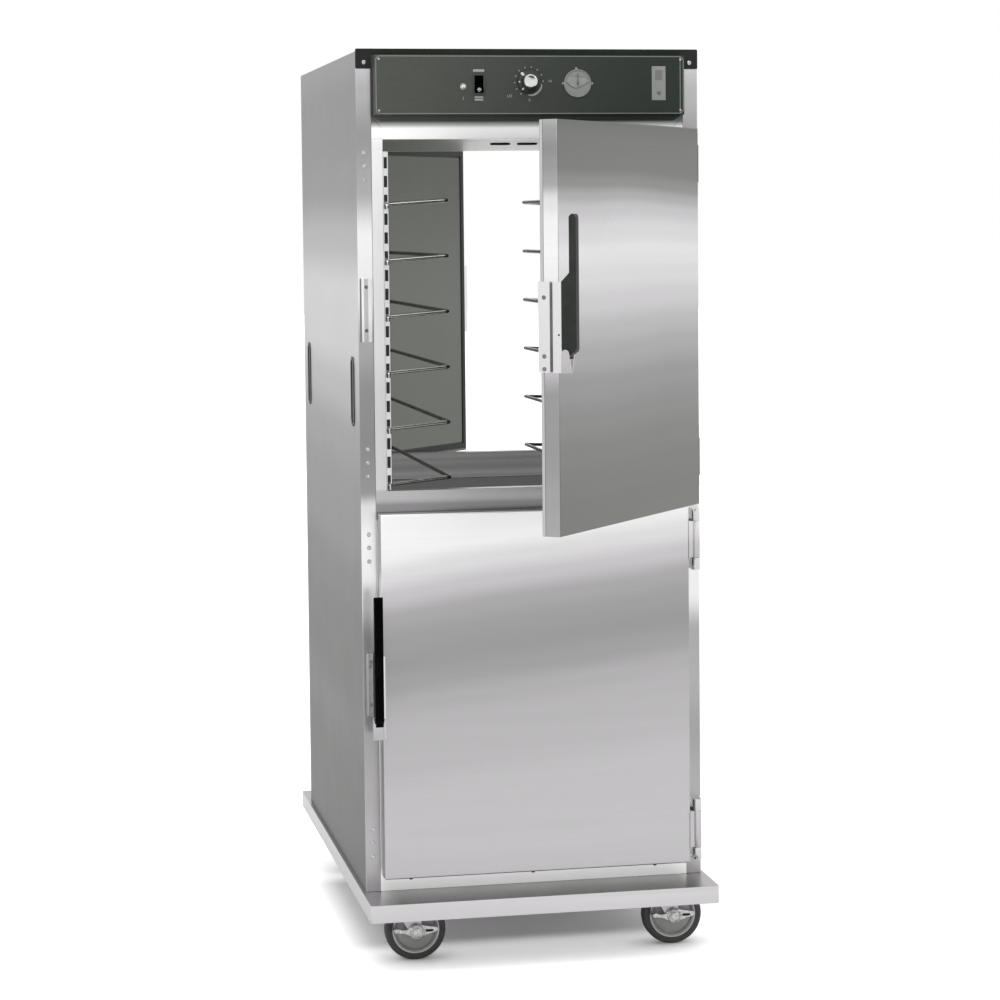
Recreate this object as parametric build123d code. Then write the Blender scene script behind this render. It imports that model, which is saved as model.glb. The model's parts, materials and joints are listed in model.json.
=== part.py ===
from build123d import *
import os
from math import cos, radians, sin

# Food holding cabinet on casters. Millimetres, Z up with the floor at 0.
# X runs to the right of a person facing the front, Y runs from the front to the rear,
# and both are 0 in the middle of the body.
# A depth in front of the front frame is called t: it is 0 on the frame and grows outwards.

# ---------------------------------------------------------------- body
body_width = 711.0
body_depth = 895.0
body_height = 1715.0
skin = 1.2                      # sheet of the body and the doors
post_width = 31.0               # return flange of a side panel, which is the corner post
wall = 54.0                     # outside of the body to the inside of the cavity
liner_sheet = 1.0
jamb_depth = 30.0
sill_height = 52.0
header_height = 177.0           # top of the upper opening to the top of the body
crossbar_height = 60.0
top_flange = 15.0
fit_gap = 0.3                   # clearance between pieces that are slipped together

# ---------------------------------------------------------------- base pan
pan_sheet = 2.0
pan_lip = 36.0
pan_overhang = 117.0            # in front of the front frame, and behind the rear one
pan_side_overhang = 7.0
pan_corner = 5.0
pan_return = 12.0

# ---------------------------------------------------------------- doors
door_margin = 34.0              # side of the body to the side of a door
door_overlap = 19.0             # above the upper opening and below the lower one
door_gap = 4.0
door_seam_drop = 12.0           # the gap lies this far below the middle of the crossbar
door_thickness = 42.0
door_edge_radius = 2.5
inner_layer = 11.0              # gasket and inner pan together
rim_height = 7.0                # folded edge of the inner pan
gasket_width = 14.0
gasket_inset = 6.0
gasket_radius = 2.5
seal_gap = 0.3
plateau_inset = 22.0
plateau_gap = 2.5
upper_front_open = 51.0         # degrees, where the two upper doors stand
upper_rear_open = 47.5

# ---------------------------------------------------------------- hinges
hinge_offset = 20.0             # door edge to the hinge axis
hinge_depth = 24.0
hinge_height = 127.0
hinge_knuckle = 25.0
hinge_radius = 8.5
hinge_pin_radius = 4.0
hinge_leaf = 2.4
hinge_leaf_width = 25.0
hinge_web = 9.0
hinge_from_top = 72.0
upper_hinge_from_bottom = 98.0
lower_hinge_from_bottom = 67.0
running_gap = 0.05              # radial clearance of a pin in its hole
knuckle_gap = 0.4

# ---------------------------------------------------------------- latch and lever
latch_height = 168.0
latch_rise = 4.0                # its middle lies this far above the middle of the door
latch_reach = 20.0              # beyond the door edge
latch_front = 57.0
latch_back = 6.0
latch_groove = (32.0, 37.0)     # from and to, between the land at the post and the front strip
latch_bevel = 2.0
latch_land_cut = 6.0            # the land and the groove are this much nearer the door
latch_groove_cut = 12.0
latch_wrap = 3.0                # onto the face of the door
foot_height = 26.0
foot_front = 70.0
cheek = 3.7
lever_width = 18.0
lever_length = 265.0
lever_front = 87.0
lever_bar = 13.0                # thickness of the bar that the fingers go behind
lever_pivot_depth = 66.0
lever_boss = 8.5
lever_pin_radius = 2.5
lever_edge = 3.0
lever_tip = 5.0
lever_heel_rise = 15.0         # the lever's foot slopes up towards its front
cheek_radius = 8.0
cheek_relief = 2.0              # round a cheek, cut from the lever
strike_height = 129.0
strike_width = 24.0
strike_gap = 6.5                # door edge to the strike
strike_rise = 38.0              # bottom of the latch to the bottom of the strike
strike_crest = 11.0             # thickness at the crest, beyond the latch
strike_bevel = 5.0
strike_edge = 1.5               # thickness at the door's side
strike_clearance = 0.5          # under and beside the land of a closed latch

# ---------------------------------------------------------------- rack
slot_pitch = 38.1
slot_count = 18
slot_width = 6.6
slot_height = 23.0
upright_margin = 22.5           # top of an upright to the middle of its first slot
upright_flange = 13.5
upright_slot_x = 8.0            # cavity wall to the middle of the slots
upright_sheet = 1.5
upright_web = 27.0
upright_setback = 20.0          # front plane to the slotted flange
upright_drop = 24.0             # top of an opening to the top of its uprights
top_slot_count = 2              # slots above the top slide
slide_slot_count = 3            # slots from one slide to the next
wire_diameter = 6.4
wire_reach = 134.0              # from the slots to the long rod
wire_setback = 49.0             # from the slotted flange to the long rod's end
wire_seat_gap = 0.1             # over the lower edge of a slot
wire_facets = 6                 # flats that stand for the rod's round section
hook_length = 8.0
hook_drop = 9.0

# ---------------------------------------------------------------- hand grips
grip_height = 144.0
grip_width = 42.0
grip_centre_height = 1182.0
grip_from_edge = 93.0
grip_rim = 7.0
grip_proud = 2.0
grip_depth = 28.0
grip_wall = 1.5
grip_corner = 6.0

# ---------------------------------------------------------------- controls
housing_margin = 35.0           # side of the body to the side of the housing
housing_height = 120.0
housing_depth = 30.0
housing_wall = 2.0
housing_edge = 1.5
housing_above_opening = 48.0
rail_taper = 16.0
rail_height = 11.0
rail_depth = 8.0
window_margin = 40.0            # housing to the window in the frame behind it
trim_thickness = 3.0
trim_rise = 5.0                 # above the body top
trim_band = 13.0
trim_ear = 40.0
lamp_place = (-140.5, 56.7)     # X, and height above the bottom of the housing
lamp_radius = 5.0
lamp_collar = 1.5
lamp_proud = 3.0
lamp_tail = 12.0
rocker_place = (-108.4, 61.2)
rocker_size = (18.0, 35.0)
rocker_frame = 2.5
rocker_pivot = 26.0
rocker_tilt = 8.0               # to each side of the middle
rocker_face = 9.0               # pivot to the ends of its face
rocker_vee = 5.0                # depth of the shallow V in the face
rocker_back = 6.0
rocker_pin_radius = 1.5
switch_back = 8.0               # pivot to the back of the switch frame
switch_proud = 2.0
knob_place = (-5.0, 66.4)
knob_skirt_radius = 26.5
knob_grip_radius = 14.0
knob_shaft_radius = 3.0
knob_skirt = 5.0
knob_height = 22.0
knob_bevel = 2.0
knob_shaft_back = 14.0
thermostat_half = 20.0
thermostat_back = 6.0
thermostat_bore_back = 12.0
gauge_place = (95.8, 63.1)
gauge_radius = 28.7
gauge_stem_radius = 12.0
gauge_height = 6.0
gauge_rim = 2.5
gauge_bevel = 1.5
gauge_dial = 2.0
gauge_pivot = 5.0
gauge_tail = 14.0
needle_layer = (3.0, 4.2)       # in front of the housing
needle_half = 0.8
needle_tail = 5.0
needle_hub = 2.5
needle_length = 20.0
needle_pivot_radius = 0.8

# ---------------------------------------------------------------- air system in the top
duct_x = (-60.0, 260.0)
duct_y = (-230.0, 110.0)
duct_height = 93.0
duct_sheet = 1.2
vent_radius = 22.0
vent_y = -162.5
vent_x = (-3.0, 56.0)
inlet_radius = 50.0
blower_place = (190.0, 40.0)
blower_radius = 60.0
blower_height = 40.0
blower_blades = 12
blower_lift = 10.0              # ceiling to the wheel
blower_hub_lift = 5.0
blade_thickness = 2.0
motor_radius = 38.0
motor_height = 60.0
motor_shaft_radius = 4.0
motor_bevel = 4.0
motor_bore = 42.0
motor_shaft_reach = 36.0        # up into the motor
heater_rod_radius = 4.0
heater_x = (-35.0, 95.0)
heater_reach = 160.0
heater_bend = 43.0
gland_place = (250.0, 70.0)     # X on the rear, and height above the bottom of the housing
gland_radius = 10.0
gland_bore_radius = 4.5
gland_inside = 6.0
gland_length = 18.0
gland_flange = (15.0, 3.0)

# ---------------------------------------------------------------- casters
wheel_diameter = 127.0
tyre_width = 32.0
tyre_inner_radius = 47.5
tyre_shoulder = 5.0
caster_height = 156.0
caster_from_side = 80.5
caster_from_edge = 50.0
caster_trail = 28.0
caster_plate_size = (70.0, 95.0)
caster_plate_sheet = 4.0
race_radius = 27.0
race_step = 3.0
race_height = 2.7
race_gap = 0.3
cup_edge = 5.0
crown_sheet = 5.0
crown_drop = 25.0               # face of the plate to the underside of the crown
crown_half = 26.0
leg_sheet = 4.0
leg_end_radius = 14.0
wheel_side_gap = 3.0
hub_radius = 14.0
hub_side_gap = 0.3
web_half = 9.5
rim_half = 13.0
rim_sheet = 3.5
kingpin_radius = 6.0
kingpin_nut = 4.5
axle_radius = 6.0
axle_head_radius = 9.5
axle_head = 5.0
brake_sheet = 6.0
brake_wings = (46.0, 42.0)
brake_end_radius = 6.0
brake_boss_radius = 12.0

# ---------------------------------------------------------------- worked out from the above
half_width = body_width / 2
door_width = body_width - 2 * door_margin
housing_width = body_width - 2 * housing_margin
caster_x = half_width - caster_from_side
front = -body_depth / 2
rear = body_depth / 2
base_top = caster_height + pan_sheet
body_top = base_top + body_height
post_inner = half_width - post_width
lever_inner = door_width / 2 + cheek + fit_gap
lever_outer = lever_inner + lever_width
open_half = half_width - wall
open_low = base_top + sill_height
open_high = body_top - header_height
open_height = (open_high - open_low - crossbar_height) / 2
crossbar_low = open_low + open_height
crossbar_high = crossbar_low + crossbar_height
door_half = door_width / 2
seam = (crossbar_low + crossbar_high) / 2 - door_seam_drop
upper_door_z = (seam + door_gap / 2, open_high + door_overlap)
lower_door_z = (open_low - door_overlap, seam - door_gap / 2)
hinge_x = door_half + hinge_offset
hinge_y = front - hinge_depth
housing_low = open_high + housing_above_opening
wheel_radius = wheel_diameter / 2


def block(x, y, z):
    """A box between a low and a high value on each axis."""
    size = Box(x[1] - x[0], y[1] - y[0], z[1] - z[0])
    return Pos((x[0] + x[1]) / 2, (y[0] + y[1]) / 2, (z[0] + z[1]) / 2) * size


def at_front(t_low, t_high):
    """The Y values of a layer that lies between two depths in front of the front frame."""
    return (front - t_high, front - t_low)


def rod(start, direction, radius, length):
    """A round bar from a point along a direction."""
    plane = Plane(origin=start, z_dir=direction)
    return extrude(plane * Circle(radius), length)


def outward(x, z, radius, t_low, t_high):
    """A round bar square to the front frame, between two depths."""
    return rod((x, front - t_low, z), (0, -1, 0), radius, t_high - t_low)


def across(face, x_low, x_high):
    """A face drawn in t and Z, carried along X from one value to another."""
    plane = Plane(origin=(x_high, front, 0), x_dir=(0, -1, 0), z_dir=(-1, 0, 0))
    return extrude(plane * face, x_high - x_low)


def fore_and_aft(face, y_low, y_high):
    """A face drawn in X and Z, carried along Y from one value to another."""
    plane = Plane(origin=(0, y_high, 0), x_dir=(1, 0, 0), z_dir=(0, -1, 0))
    return extrude(plane * face, y_high - y_low)


def half_turn(shape):
    """The same shape at the other end of the cabinet."""
    return Rot(0, 0, 180) * shape


def swung(shape, angle):
    """A shape of a front door, opened by an angle about the hinge axis."""
    return Pos(hinge_x, hinge_y, 0) * Rot(0, 0, angle) * Pos(-hinge_x, -hinge_y, 0) * shape


def side_panel():
    """Right-hand skin, folded round at the front and the rear to make the corner posts."""
    height = (base_top, body_top - skin)
    outer = block((post_inner, half_width), (front, rear), height)
    inside = (front + skin, rear - skin)
    hollow = block((post_inner - skin, half_width - skin), inside, (base_top - skin, body_top))
    panel = outer - hollow
    for y in grip_rows():
        panel -= grip_pocket(y, 2 * grip_rim - 2 * fit_gap)
    return panel


def grip_rows():
    """The Y of the front and the rear hand grip of a side."""
    return (front + grip_from_edge, rear - grip_from_edge)


def grip_pocket(y, margin):
    """A slot with cut corners through the right skin, smaller than the grip's flange by a margin."""
    plane = Plane(origin=(half_width - grip_depth, y, grip_centre_height), x_dir=(0, 1, 0),
                  z_dir=(1, 0, 0))
    outline = Rectangle(grip_width - margin, grip_height - margin)
    outline = chamfer(outline.vertices(), grip_corner)
    return extrude(plane * outline, grip_depth + grip_proud)


def hand_grip(y):
    """A recessed cup with a flange that lies on the right-hand skin."""
    plane = Plane(origin=(half_width, y, grip_centre_height), x_dir=(0, 1, 0), z_dir=(1, 0, 0))
    outline = Rectangle(grip_width, grip_height)
    flange = extrude(plane * chamfer(outline.vertices(), grip_corner + grip_rim / 2), grip_proud)
    cup = grip_pocket(y, 2 * grip_rim) + flange
    hollow = Pos(grip_wall, 0, 0) * grip_pocket(y, 2 * grip_rim + 2 * grip_wall)
    return cup - hollow


def top_panel():
    """Top sheet with a folded-down edge inside the skins."""
    sheet = block((-half_width, half_width), (front, rear), (body_top - skin, body_top))
    x_in = half_width - skin - fit_gap
    y_in = rear - skin - fit_gap
    edge_z = (body_top - skin - top_flange, body_top - skin)
    ring = block((-x_in, x_in), (-y_in, y_in), edge_z)
    x_in -= skin
    y_in -= skin
    return sheet + ring - block((-x_in, x_in), (-y_in, y_in), edge_z)


def end_frame():
    """Front closure: header, sill, jamb flanges round both openings and a tubular crossbar."""
    plate_x = (-post_inner, post_inner)
    plate = block(plate_x, (front, front + skin), (base_top, body_top - skin))
    jamb_x = open_half + skin
    jamb_y = (front, front + jamb_depth)
    jambs = block((-jamb_x, jamb_x), jamb_y, (open_low - skin, open_high + skin))
    frame = plate + jambs
    through = (front - skin, front + jamb_depth + skin)
    frame -= block((-open_half, open_half), through, (open_low, crossbar_low))
    frame -= block((-open_half, open_half), through, (crossbar_high, open_high))
    bore_y = (front + skin, front + jamb_depth - skin)
    bore_z = (crossbar_low + skin, crossbar_high - skin)
    return frame - block(plate_x, bore_y, bore_z)


def front_frame():
    """Front closure with a window behind the control housing."""
    window_x = housing_width / 2 - window_margin
    lift = window_margin / 2
    window_z = (housing_low + lift, housing_low + housing_height - lift)
    return end_frame() - block((-window_x, window_x), (front - skin, front + 2 * skin), window_z)


def rear_frame():
    """Rear closure with a hole for the cord gland."""
    x, z = gland_place
    return half_turn(end_frame() - outward(-x, housing_low + z, gland_radius, -2 * skin, skin))


def inner_liner():
    """Walls, floor and ceiling of the cavity, open at both ends, with air holes in the ceiling."""
    ends = (front + jamb_depth, rear - jamb_depth)
    out = open_half + liner_sheet
    tube = block((-out, out), ends, (open_low - liner_sheet, open_high + liner_sheet))
    tube -= block((-open_half, open_half), ends, (open_low, open_high))
    for x in vent_x:
        tube -= rod((x, vent_y, open_high - liner_sheet), (0, 0, 1), vent_radius, 3 * liner_sheet)
    inlet = (*blower_place, open_high - liner_sheet)
    return tube - rod(inlet, (0, 0, 1), inlet_radius, 3 * liner_sheet)


def wall_insulation():
    """Board between the skin and the liner: floor, sides and ceiling in one wrap."""
    ends = (front + skin, rear - skin)
    side = half_width - skin
    wrap = block((-side, side), ends, (base_top, housing_low))
    slack = max(skin, liner_sheet)
    out = open_half + slack
    wrap -= block((-out, out), ends, (open_low - slack, open_high + slack))
    duct_slot_x = (duct_x[0] - fit_gap, duct_x[1] + fit_gap)
    duct_slot_y = (duct_y[0] - 2 * heater_rod_radius, duct_y[1] + fit_gap)
    wrap -= block(duct_slot_x, duct_slot_y, (open_high, housing_low + skin))
    for y in grip_rows():
        slot = grip_pocket(y, 2 * grip_rim - 2 * fit_gap)
        wrap -= Pos(-fit_gap, 0, 0) * slot
        wrap -= half_turn(Pos(-fit_gap, 0, 0) * slot)
    return wrap


def base_pan():
    """Rimmed tray that carries the body, open underneath, with a folded-in lower edge."""
    x = half_width + pan_side_overhang
    y = rear + pan_overhang
    lip_z = base_top - pan_lip
    outline = RectangleRounded(2 * x, 2 * y, pan_corner)
    tray = extrude(Pos(0, 0, lip_z) * outline, pan_lip)
    inside = RectangleRounded(2 * (x - pan_sheet), 2 * (y - pan_sheet), pan_corner - pan_sheet)
    tray -= extrude(Pos(0, 0, lip_z + pan_sheet) * inside, pan_lip - 2 * pan_sheet)
    mouth = Rectangle(2 * (x - pan_return), 2 * (y - pan_return))
    return tray - extrude(Pos(0, 0, lip_z) * mouth, pan_sheet)


def door_outer_pan(z_low, z_high):
    """Outer shell of a closed front door, open towards the cabinet."""
    layer = at_front(inner_layer, door_thickness)
    shell = block((-door_half, door_half), layer, (z_low, z_high))
    face_edges = shell.faces().sort_by(Axis.Y)[0].edges()
    shell = fillet(face_edges, door_edge_radius)
    hollow_x = (-door_half + skin, door_half - skin)
    hollow_y = at_front(inner_layer - skin, door_thickness - skin)
    return shell - block(hollow_x, hollow_y, (z_low + skin, z_high - skin))


def door_inner_pan(z_low, z_high):
    """Inner pan of a door: a folded rim that carries the gasket, and a drawn plateau."""
    def inset(amount, t_low, t_high):
        reach = door_half - amount
        return block((-reach, reach), at_front(t_low, t_high), (z_low + amount, z_high - amount))
    rim_front = inner_layer - rim_height
    pan = inset(0, rim_front, inner_layer) + inset(plateau_inset, plateau_gap, inner_layer)
    pan -= inset(skin, rim_front + skin, inner_layer)
    return pan - inset(plateau_inset + skin, plateau_gap + skin, inner_layer)


def door_gasket(z_low, z_high):
    """Ring of rubber on the inner pan's rim, rounded where it meets the frame."""
    def ring(amount):
        size = (door_width - 2 * amount, z_high - z_low - 2 * amount)
        outline = Pos(0, (z_low + z_high) / 2) * Rectangle(*size)
        return fore_and_aft(outline, *at_front(seal_gap, inner_layer - rim_height))
    gasket = ring(gasket_inset) - ring(gasket_inset + gasket_width)
    sealing_edges = gasket.faces().sort_by(Axis.Y)[-1].edges()
    return fillet(sealing_edges, gasket_radius)


def hinge_heights(z_low, z_high, from_bottom):
    """The middles of a door's two hinges."""
    return (z_high - hinge_from_top, z_low + from_bottom)


def hinge_bracket(z):
    """Frame half of a hinge: a leaf on the post, two end knuckles and the pin."""
    half = hinge_height / 2
    leaf_x = (hinge_x - hinge_leaf_width / 2, hinge_x + hinge_leaf_width / 2)
    bracket = block(leaf_x, at_front(0, hinge_leaf), (z - half, z + half))
    for low in (z - half, z + half - hinge_knuckle):
        web_x = (hinge_x - hinge_radius, hinge_x + hinge_radius)
        bracket += block(web_x, at_front(0, hinge_depth), (low, low + hinge_knuckle))
        bracket += rod((hinge_x, hinge_y, low), (0, 0, 1), hinge_radius, hinge_knuckle)
    return bracket + rod((hinge_x, hinge_y, z - half), (0, 0, 1), hinge_pin_radius, hinge_height)


def hinge_door_leaf(z):
    """Door half of a hinge: the middle knuckle with a leaf on the door's edge."""
    half = hinge_height / 2 - hinge_knuckle - knuckle_gap
    span = (z - half, z + half)
    leaf = block((door_half, door_half + hinge_leaf), at_front(inner_layer, door_thickness), span)
    web_y = (hinge_y - hinge_web / 2, hinge_y + hinge_web / 2)
    leaf += block((door_half, hinge_x), web_y, span)
    leaf += rod((hinge_x, hinge_y, z - half), (0, 0, 1), hinge_radius, 2 * half)
    bore_radius = hinge_pin_radius + running_gap
    return leaf - rod((hinge_x, hinge_y, z - half), (0, 0, 1), bore_radius, 2 * half)


def latch_low(z_low, z_high):
    """Bottom of the latch body of a door."""
    return (z_low + z_high) / 2 + latch_rise - latch_height / 2


def lever_pivot_height(low):
    """Height of the lever's pin above a latch bottom: the boss just clears the foot."""
    return low + foot_height + lever_boss + 1


def door_latch(low):
    """Latch body wrapped round the free edge of a closed front door, with its foot and pin."""
    edge = -door_half
    land = -latch_reach + latch_land_cut
    waist = -latch_reach + latch_groove_cut
    land_end = latch_groove[0] - latch_bevel
    strip_start = latch_groove[1] + latch_bevel
    corners = [(0, latch_back), (land, latch_back), (land, land_end), (waist, latch_groove[0]),
               (waist, latch_groove[1]), (-latch_reach, strip_start), (-latch_reach, latch_front),
               (latch_wrap, latch_front), (latch_wrap, door_thickness), (0, door_thickness)]
    outline = Polyline([(edge + x, front - t) for x, t in corners], close=True)
    latch = extrude(Pos(0, 0, low) * make_face(outline), latch_height)
    outer_x = edge - latch_reach - cheek
    foot_z = (low, low + foot_height)
    latch += block((outer_x, edge), at_front(latch_front, foot_front), foot_z)
    pivot = Pos(lever_pivot_depth, lever_pivot_height(low))
    foot_middle = Pos((latch_front + foot_front) / 2, low + foot_height / 2)
    foot_side = foot_middle * Rectangle(foot_front - latch_front, foot_height)
    ear = make_hull(foot_side.edges() + (pivot * Circle(cheek_radius)).edges())
    for x in (outer_x, edge - cheek):
        latch += across(ear, x, x + cheek)
    return latch + across(pivot * Circle(lever_pin_radius), outer_x, edge)


def door_lever(low):
    """Moulded lever: a deep lower part on the latch body and a bar that stands clear above."""
    pivot_z = lever_pivot_height(low)
    back = lever_pivot_depth - lever_boss
    bottom = pivot_z - lever_boss
    top = bottom + lever_length
    bar_back = lever_front - lever_bar
    step_low = low + latch_height
    step_high = step_low + bar_back - back
    side = make_face(Polyline((back, pivot_z), (back, step_low), (bar_back, step_high),
                              (bar_back, top), (lever_front, top),
                              (lever_front, bottom + lever_heel_rise),
                              (lever_pivot_depth, bottom), close=True))
    side = chamfer(side.vertices().sort_by(Axis.Y)[-2:], lever_tip)
    pivot = Pos(lever_pivot_depth, pivot_z)
    side += pivot * Circle(lever_boss)
    lever = across(side, -lever_outer, -lever_inner)
    lever = chamfer(lever.faces().sort_by(Axis.Y)[0].edges(), lever_edge)
    relief = cheek_radius + cheek_relief
    relief_x = (-lever_outer - cheek_relief, -door_half - latch_reach + fit_gap)
    relief_t = (back - cheek_relief, lever_pivot_depth + relief)
    relief_z = (bottom - cheek_relief, pivot_z + relief)
    lever -= block(relief_x, at_front(*relief_t), relief_z)
    bore = pivot * Circle(lever_pin_radius + running_gap)
    return lever - across(bore, -lever_outer, -lever_inner)


def strike(latch_bottom):
    """Keeper on the post: a ramp that a closing latch comes over, down from its outer crest."""
    inner_x = -door_half - strike_gap
    outer_x = inner_x - strike_width
    land_x = -door_half - latch_reach + latch_land_cut - strike_clearance
    corners = [(outer_x, 0), (outer_x, strike_crest - strike_bevel),
               (outer_x + strike_bevel, strike_crest), (land_x, latch_back - strike_clearance),
               (inner_x, strike_edge), (inner_x, 0)]
    outline = Polyline([(x, front - t) for x, t in corners], close=True)
    low = latch_bottom + strike_rise
    return extrude(Pos(0, 0, low) * make_face(outline), strike_height)


def slot_heights(top):
    """The middles of an upright's slots, from the top one down."""
    return [top - upright_margin - slot_pitch * i for i in range(slot_count)]


def upright(low, high):
    """Front left upright of one compartment: an angle on the cavity wall with a slotted flange."""
    y = front + upright_setback
    wall_x = -open_half
    top = high - upright_drop
    post = block((wall_x, wall_x + upright_sheet), (y, y + upright_web), (low, top))
    post += block((wall_x, wall_x + upright_flange), (y, y + upright_sheet), (low, top))
    slot_x = (wall_x + upright_slot_x - slot_width / 2, wall_x + upright_slot_x + slot_width / 2)
    for z in slot_heights(top):
        post -= block(slot_x, (y, y + upright_sheet), (z - slot_height / 2, z + slot_height / 2))
    return post


def eased(points, cut):
    """A path with each of its corners cut in two, so that a rod turns it in two small bends."""
    ends = [Vector(*point) for point in points]
    path = ends[:1]
    for before, corner, after in zip(ends, ends[1:], ends[2:]):
        path.append(corner + (before - corner).normalized() * cut)
        path.append(corner + (after - corner).normalized() * cut)
    return path + ends[-1:]


def wire_slide(z):
    """Left-hand tray slide at a slot's height: one rod with a hook at each end."""
    radius = wire_diameter / 2
    foot_z = z - slot_height / 2 + radius + wire_seat_gap
    foot_x = -open_half + upright_slot_x
    rod_x = foot_x + wire_reach
    hook_y = rear - upright_setback + hook_length
    bend_y = rear - upright_setback - upright_sheet - wire_diameter
    rod_y = rear - upright_setback - wire_setback
    half = [(rod_x, rod_y, z), (foot_x, bend_y, foot_z), (foot_x, hook_y, foot_z),
            (foot_x, hook_y, foot_z - hook_drop)]
    path = [(x, -y, height) for x, y, height in reversed(half)] + half
    line = Polyline(*eased(path, wire_diameter / 2))
    section = Plane(origin=path[0], z_dir=(0, 0, 1)) * RegularPolygon(radius, wire_facets)
    return sweep(section, path=line, transition=Transition.RIGHT)


def slides(z):
    """The left-hand and the right-hand slide of one level."""
    left = wire_slide(z)
    return [left, mirror(left, about=Plane.YZ)]


def control_housing():
    """Sheet housing over the header, with the thermostat's body and the frame of the switch."""
    low = housing_low
    x = housing_width / 2
    shell = block((-x, x), at_front(0, housing_depth), (low, low + housing_height))
    shell = chamfer(shell.faces().sort_by(Axis.Y)[0].edges(), housing_edge)
    x -= housing_wall
    inside_z = (low + housing_wall, low + housing_height - housing_wall)
    shell -= block((-x, x), at_front(0, housing_depth - housing_wall), inside_z)
    lamp_x, lamp_z = lamp_place
    shell -= outward(lamp_x, low + lamp_z, lamp_radius + running_gap, 0, housing_depth)
    gauge_x, gauge_z = gauge_place
    stem = gauge_stem_radius + running_gap
    shell -= outward(gauge_x, low + gauge_z, stem, 0, housing_depth)
    knob_x, knob_z = knob_place
    shaft = knob_shaft_radius + running_gap
    body_x = (knob_x - thermostat_half, knob_x + thermostat_half)
    body_z = (low + knob_z - thermostat_half, low + knob_z + thermostat_half)
    shell += block(body_x, at_front(thermostat_back, housing_depth - housing_wall), body_z)
    shell -= outward(knob_x, low + knob_z, shaft, thermostat_bore_back, housing_depth)
    return shell + switch_frame() - switch_well()


def switch_block(margin, t_low, t_high):
    """A box round the rocker, larger than it by a margin on each side."""
    x, z = rocker_place
    half_x = rocker_size[0] / 2 + margin
    half_z = rocker_size[1] / 2 + margin
    middle = housing_low + z
    return block((x - half_x, x + half_x), at_front(t_low, t_high), (middle - half_z, middle + half_z))


def switch_frame():
    """The frame that the rocker sits in, through the fascia."""
    return switch_block(fit_gap + rocker_frame, rocker_pivot - switch_back,
                        housing_depth + switch_proud)


def switch_well():
    """The opening of the switch frame, with the two holes for the rocker's pins."""
    pins = rod((rocker_place[0] - rocker_size[0] / 2 - rocker_frame, front - rocker_pivot,
                housing_low + rocker_place[1]), (1, 0, 0), rocker_pin_radius + running_gap,
               rocker_size[0] + 2 * rocker_frame)
    return switch_block(fit_gap, rocker_pivot - switch_back, housing_depth + switch_proud) + pins


def power_rocker():
    """Rocker tilted to its on side: a drum with a shallow V in its face, and two pins."""
    half = rocker_size[1] / 2
    depth = rocker_face + rocker_back
    side = Circle(half) & Pos(rocker_face - depth / 2, 0) * Rectangle(depth, 2 * half)
    side -= make_face(Polyline((rocker_face, -half), (rocker_face - rocker_vee, 0),
                               (rocker_face, half), close=True))
    x, z = rocker_place
    centre = Pos(rocker_pivot, housing_low + z)
    width = rocker_size[0] / 2
    rocker = across(centre * Rot(0, 0, rocker_tilt) * side, x - width, x + width)
    pin_reach = width + fit_gap + rocker_frame / 2
    return rocker + across(centre * Circle(rocker_pin_radius), x - pin_reach, x + pin_reach)


def thermostat_knob():
    """Knob with a flat skirt, a raised grip and its shaft."""
    x, z = knob_place
    z += housing_low
    base = housing_depth + fit_gap
    skirt_top = housing_depth + knob_skirt
    knob = outward(x, z, knob_skirt_radius, base, skirt_top)
    grip = outward(x, z, knob_grip_radius, base, housing_depth + knob_height)
    knob += chamfer(grip.edges().sort_by(Axis.Y)[0], knob_bevel)
    return knob + outward(x, z, knob_shaft_radius, knob_shaft_back, skirt_top)


def indicator_lamp():
    """Lamp with a collar and a domed lens."""
    x, z = lamp_place
    z += housing_low
    lamp = outward(x, z, lamp_radius, housing_depth - lamp_tail, housing_depth + lamp_proud)
    lamp = chamfer(lamp.edges().sort_by(Axis.Y)[0], lamp_proud / 2)
    collar_radius = lamp_radius + lamp_collar
    return lamp + outward(x, z, collar_radius, housing_depth, housing_depth + lamp_collar)


def thermometer_case():
    """Round case with a raised rim, a stem through the fascia and the needle's pivot."""
    x, z = gauge_place
    z += housing_low
    high = housing_depth + gauge_height
    dial = housing_depth + gauge_dial
    case = outward(x, z, gauge_radius, housing_depth, high)
    case = chamfer(case.edges().sort_by(Axis.Y)[0], gauge_bevel)
    case -= outward(x, z, gauge_radius - gauge_rim, dial, high)
    case += outward(x, z, gauge_stem_radius, housing_depth - gauge_tail, dial)
    pivot = needle_pivot_radius - running_gap
    return case + outward(x, z, pivot, dial, housing_depth + gauge_pivot)


def thermometer_needle():
    """Pointer with a round hub on the pivot, standing clear of the dial."""
    x, z = gauge_place
    z += housing_low
    layer = [housing_depth + level for level in needle_layer]
    half = needle_half
    low = z - needle_tail
    high = z + needle_length
    pointer = make_face(Polyline((x - half, low), (x + half, low), (x + half / 2, high),
                                 (x - half / 2, high), close=True))
    needle = fore_and_aft(pointer, *at_front(*layer)) + outward(x, z, needle_hub, *layer)
    return needle - outward(x, z, needle_pivot_radius, *layer)


def drip_rail():
    """Rail with slanting ends under the control housing."""
    top = housing_width / 2
    bottom = top - rail_taper
    low = housing_low - rail_height
    outline = make_face(Polyline((-top, housing_low), (top, housing_low), (bottom, low),
                                 (-bottom, low), close=True))
    return fore_and_aft(outline, *at_front(0, rail_depth))


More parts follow.
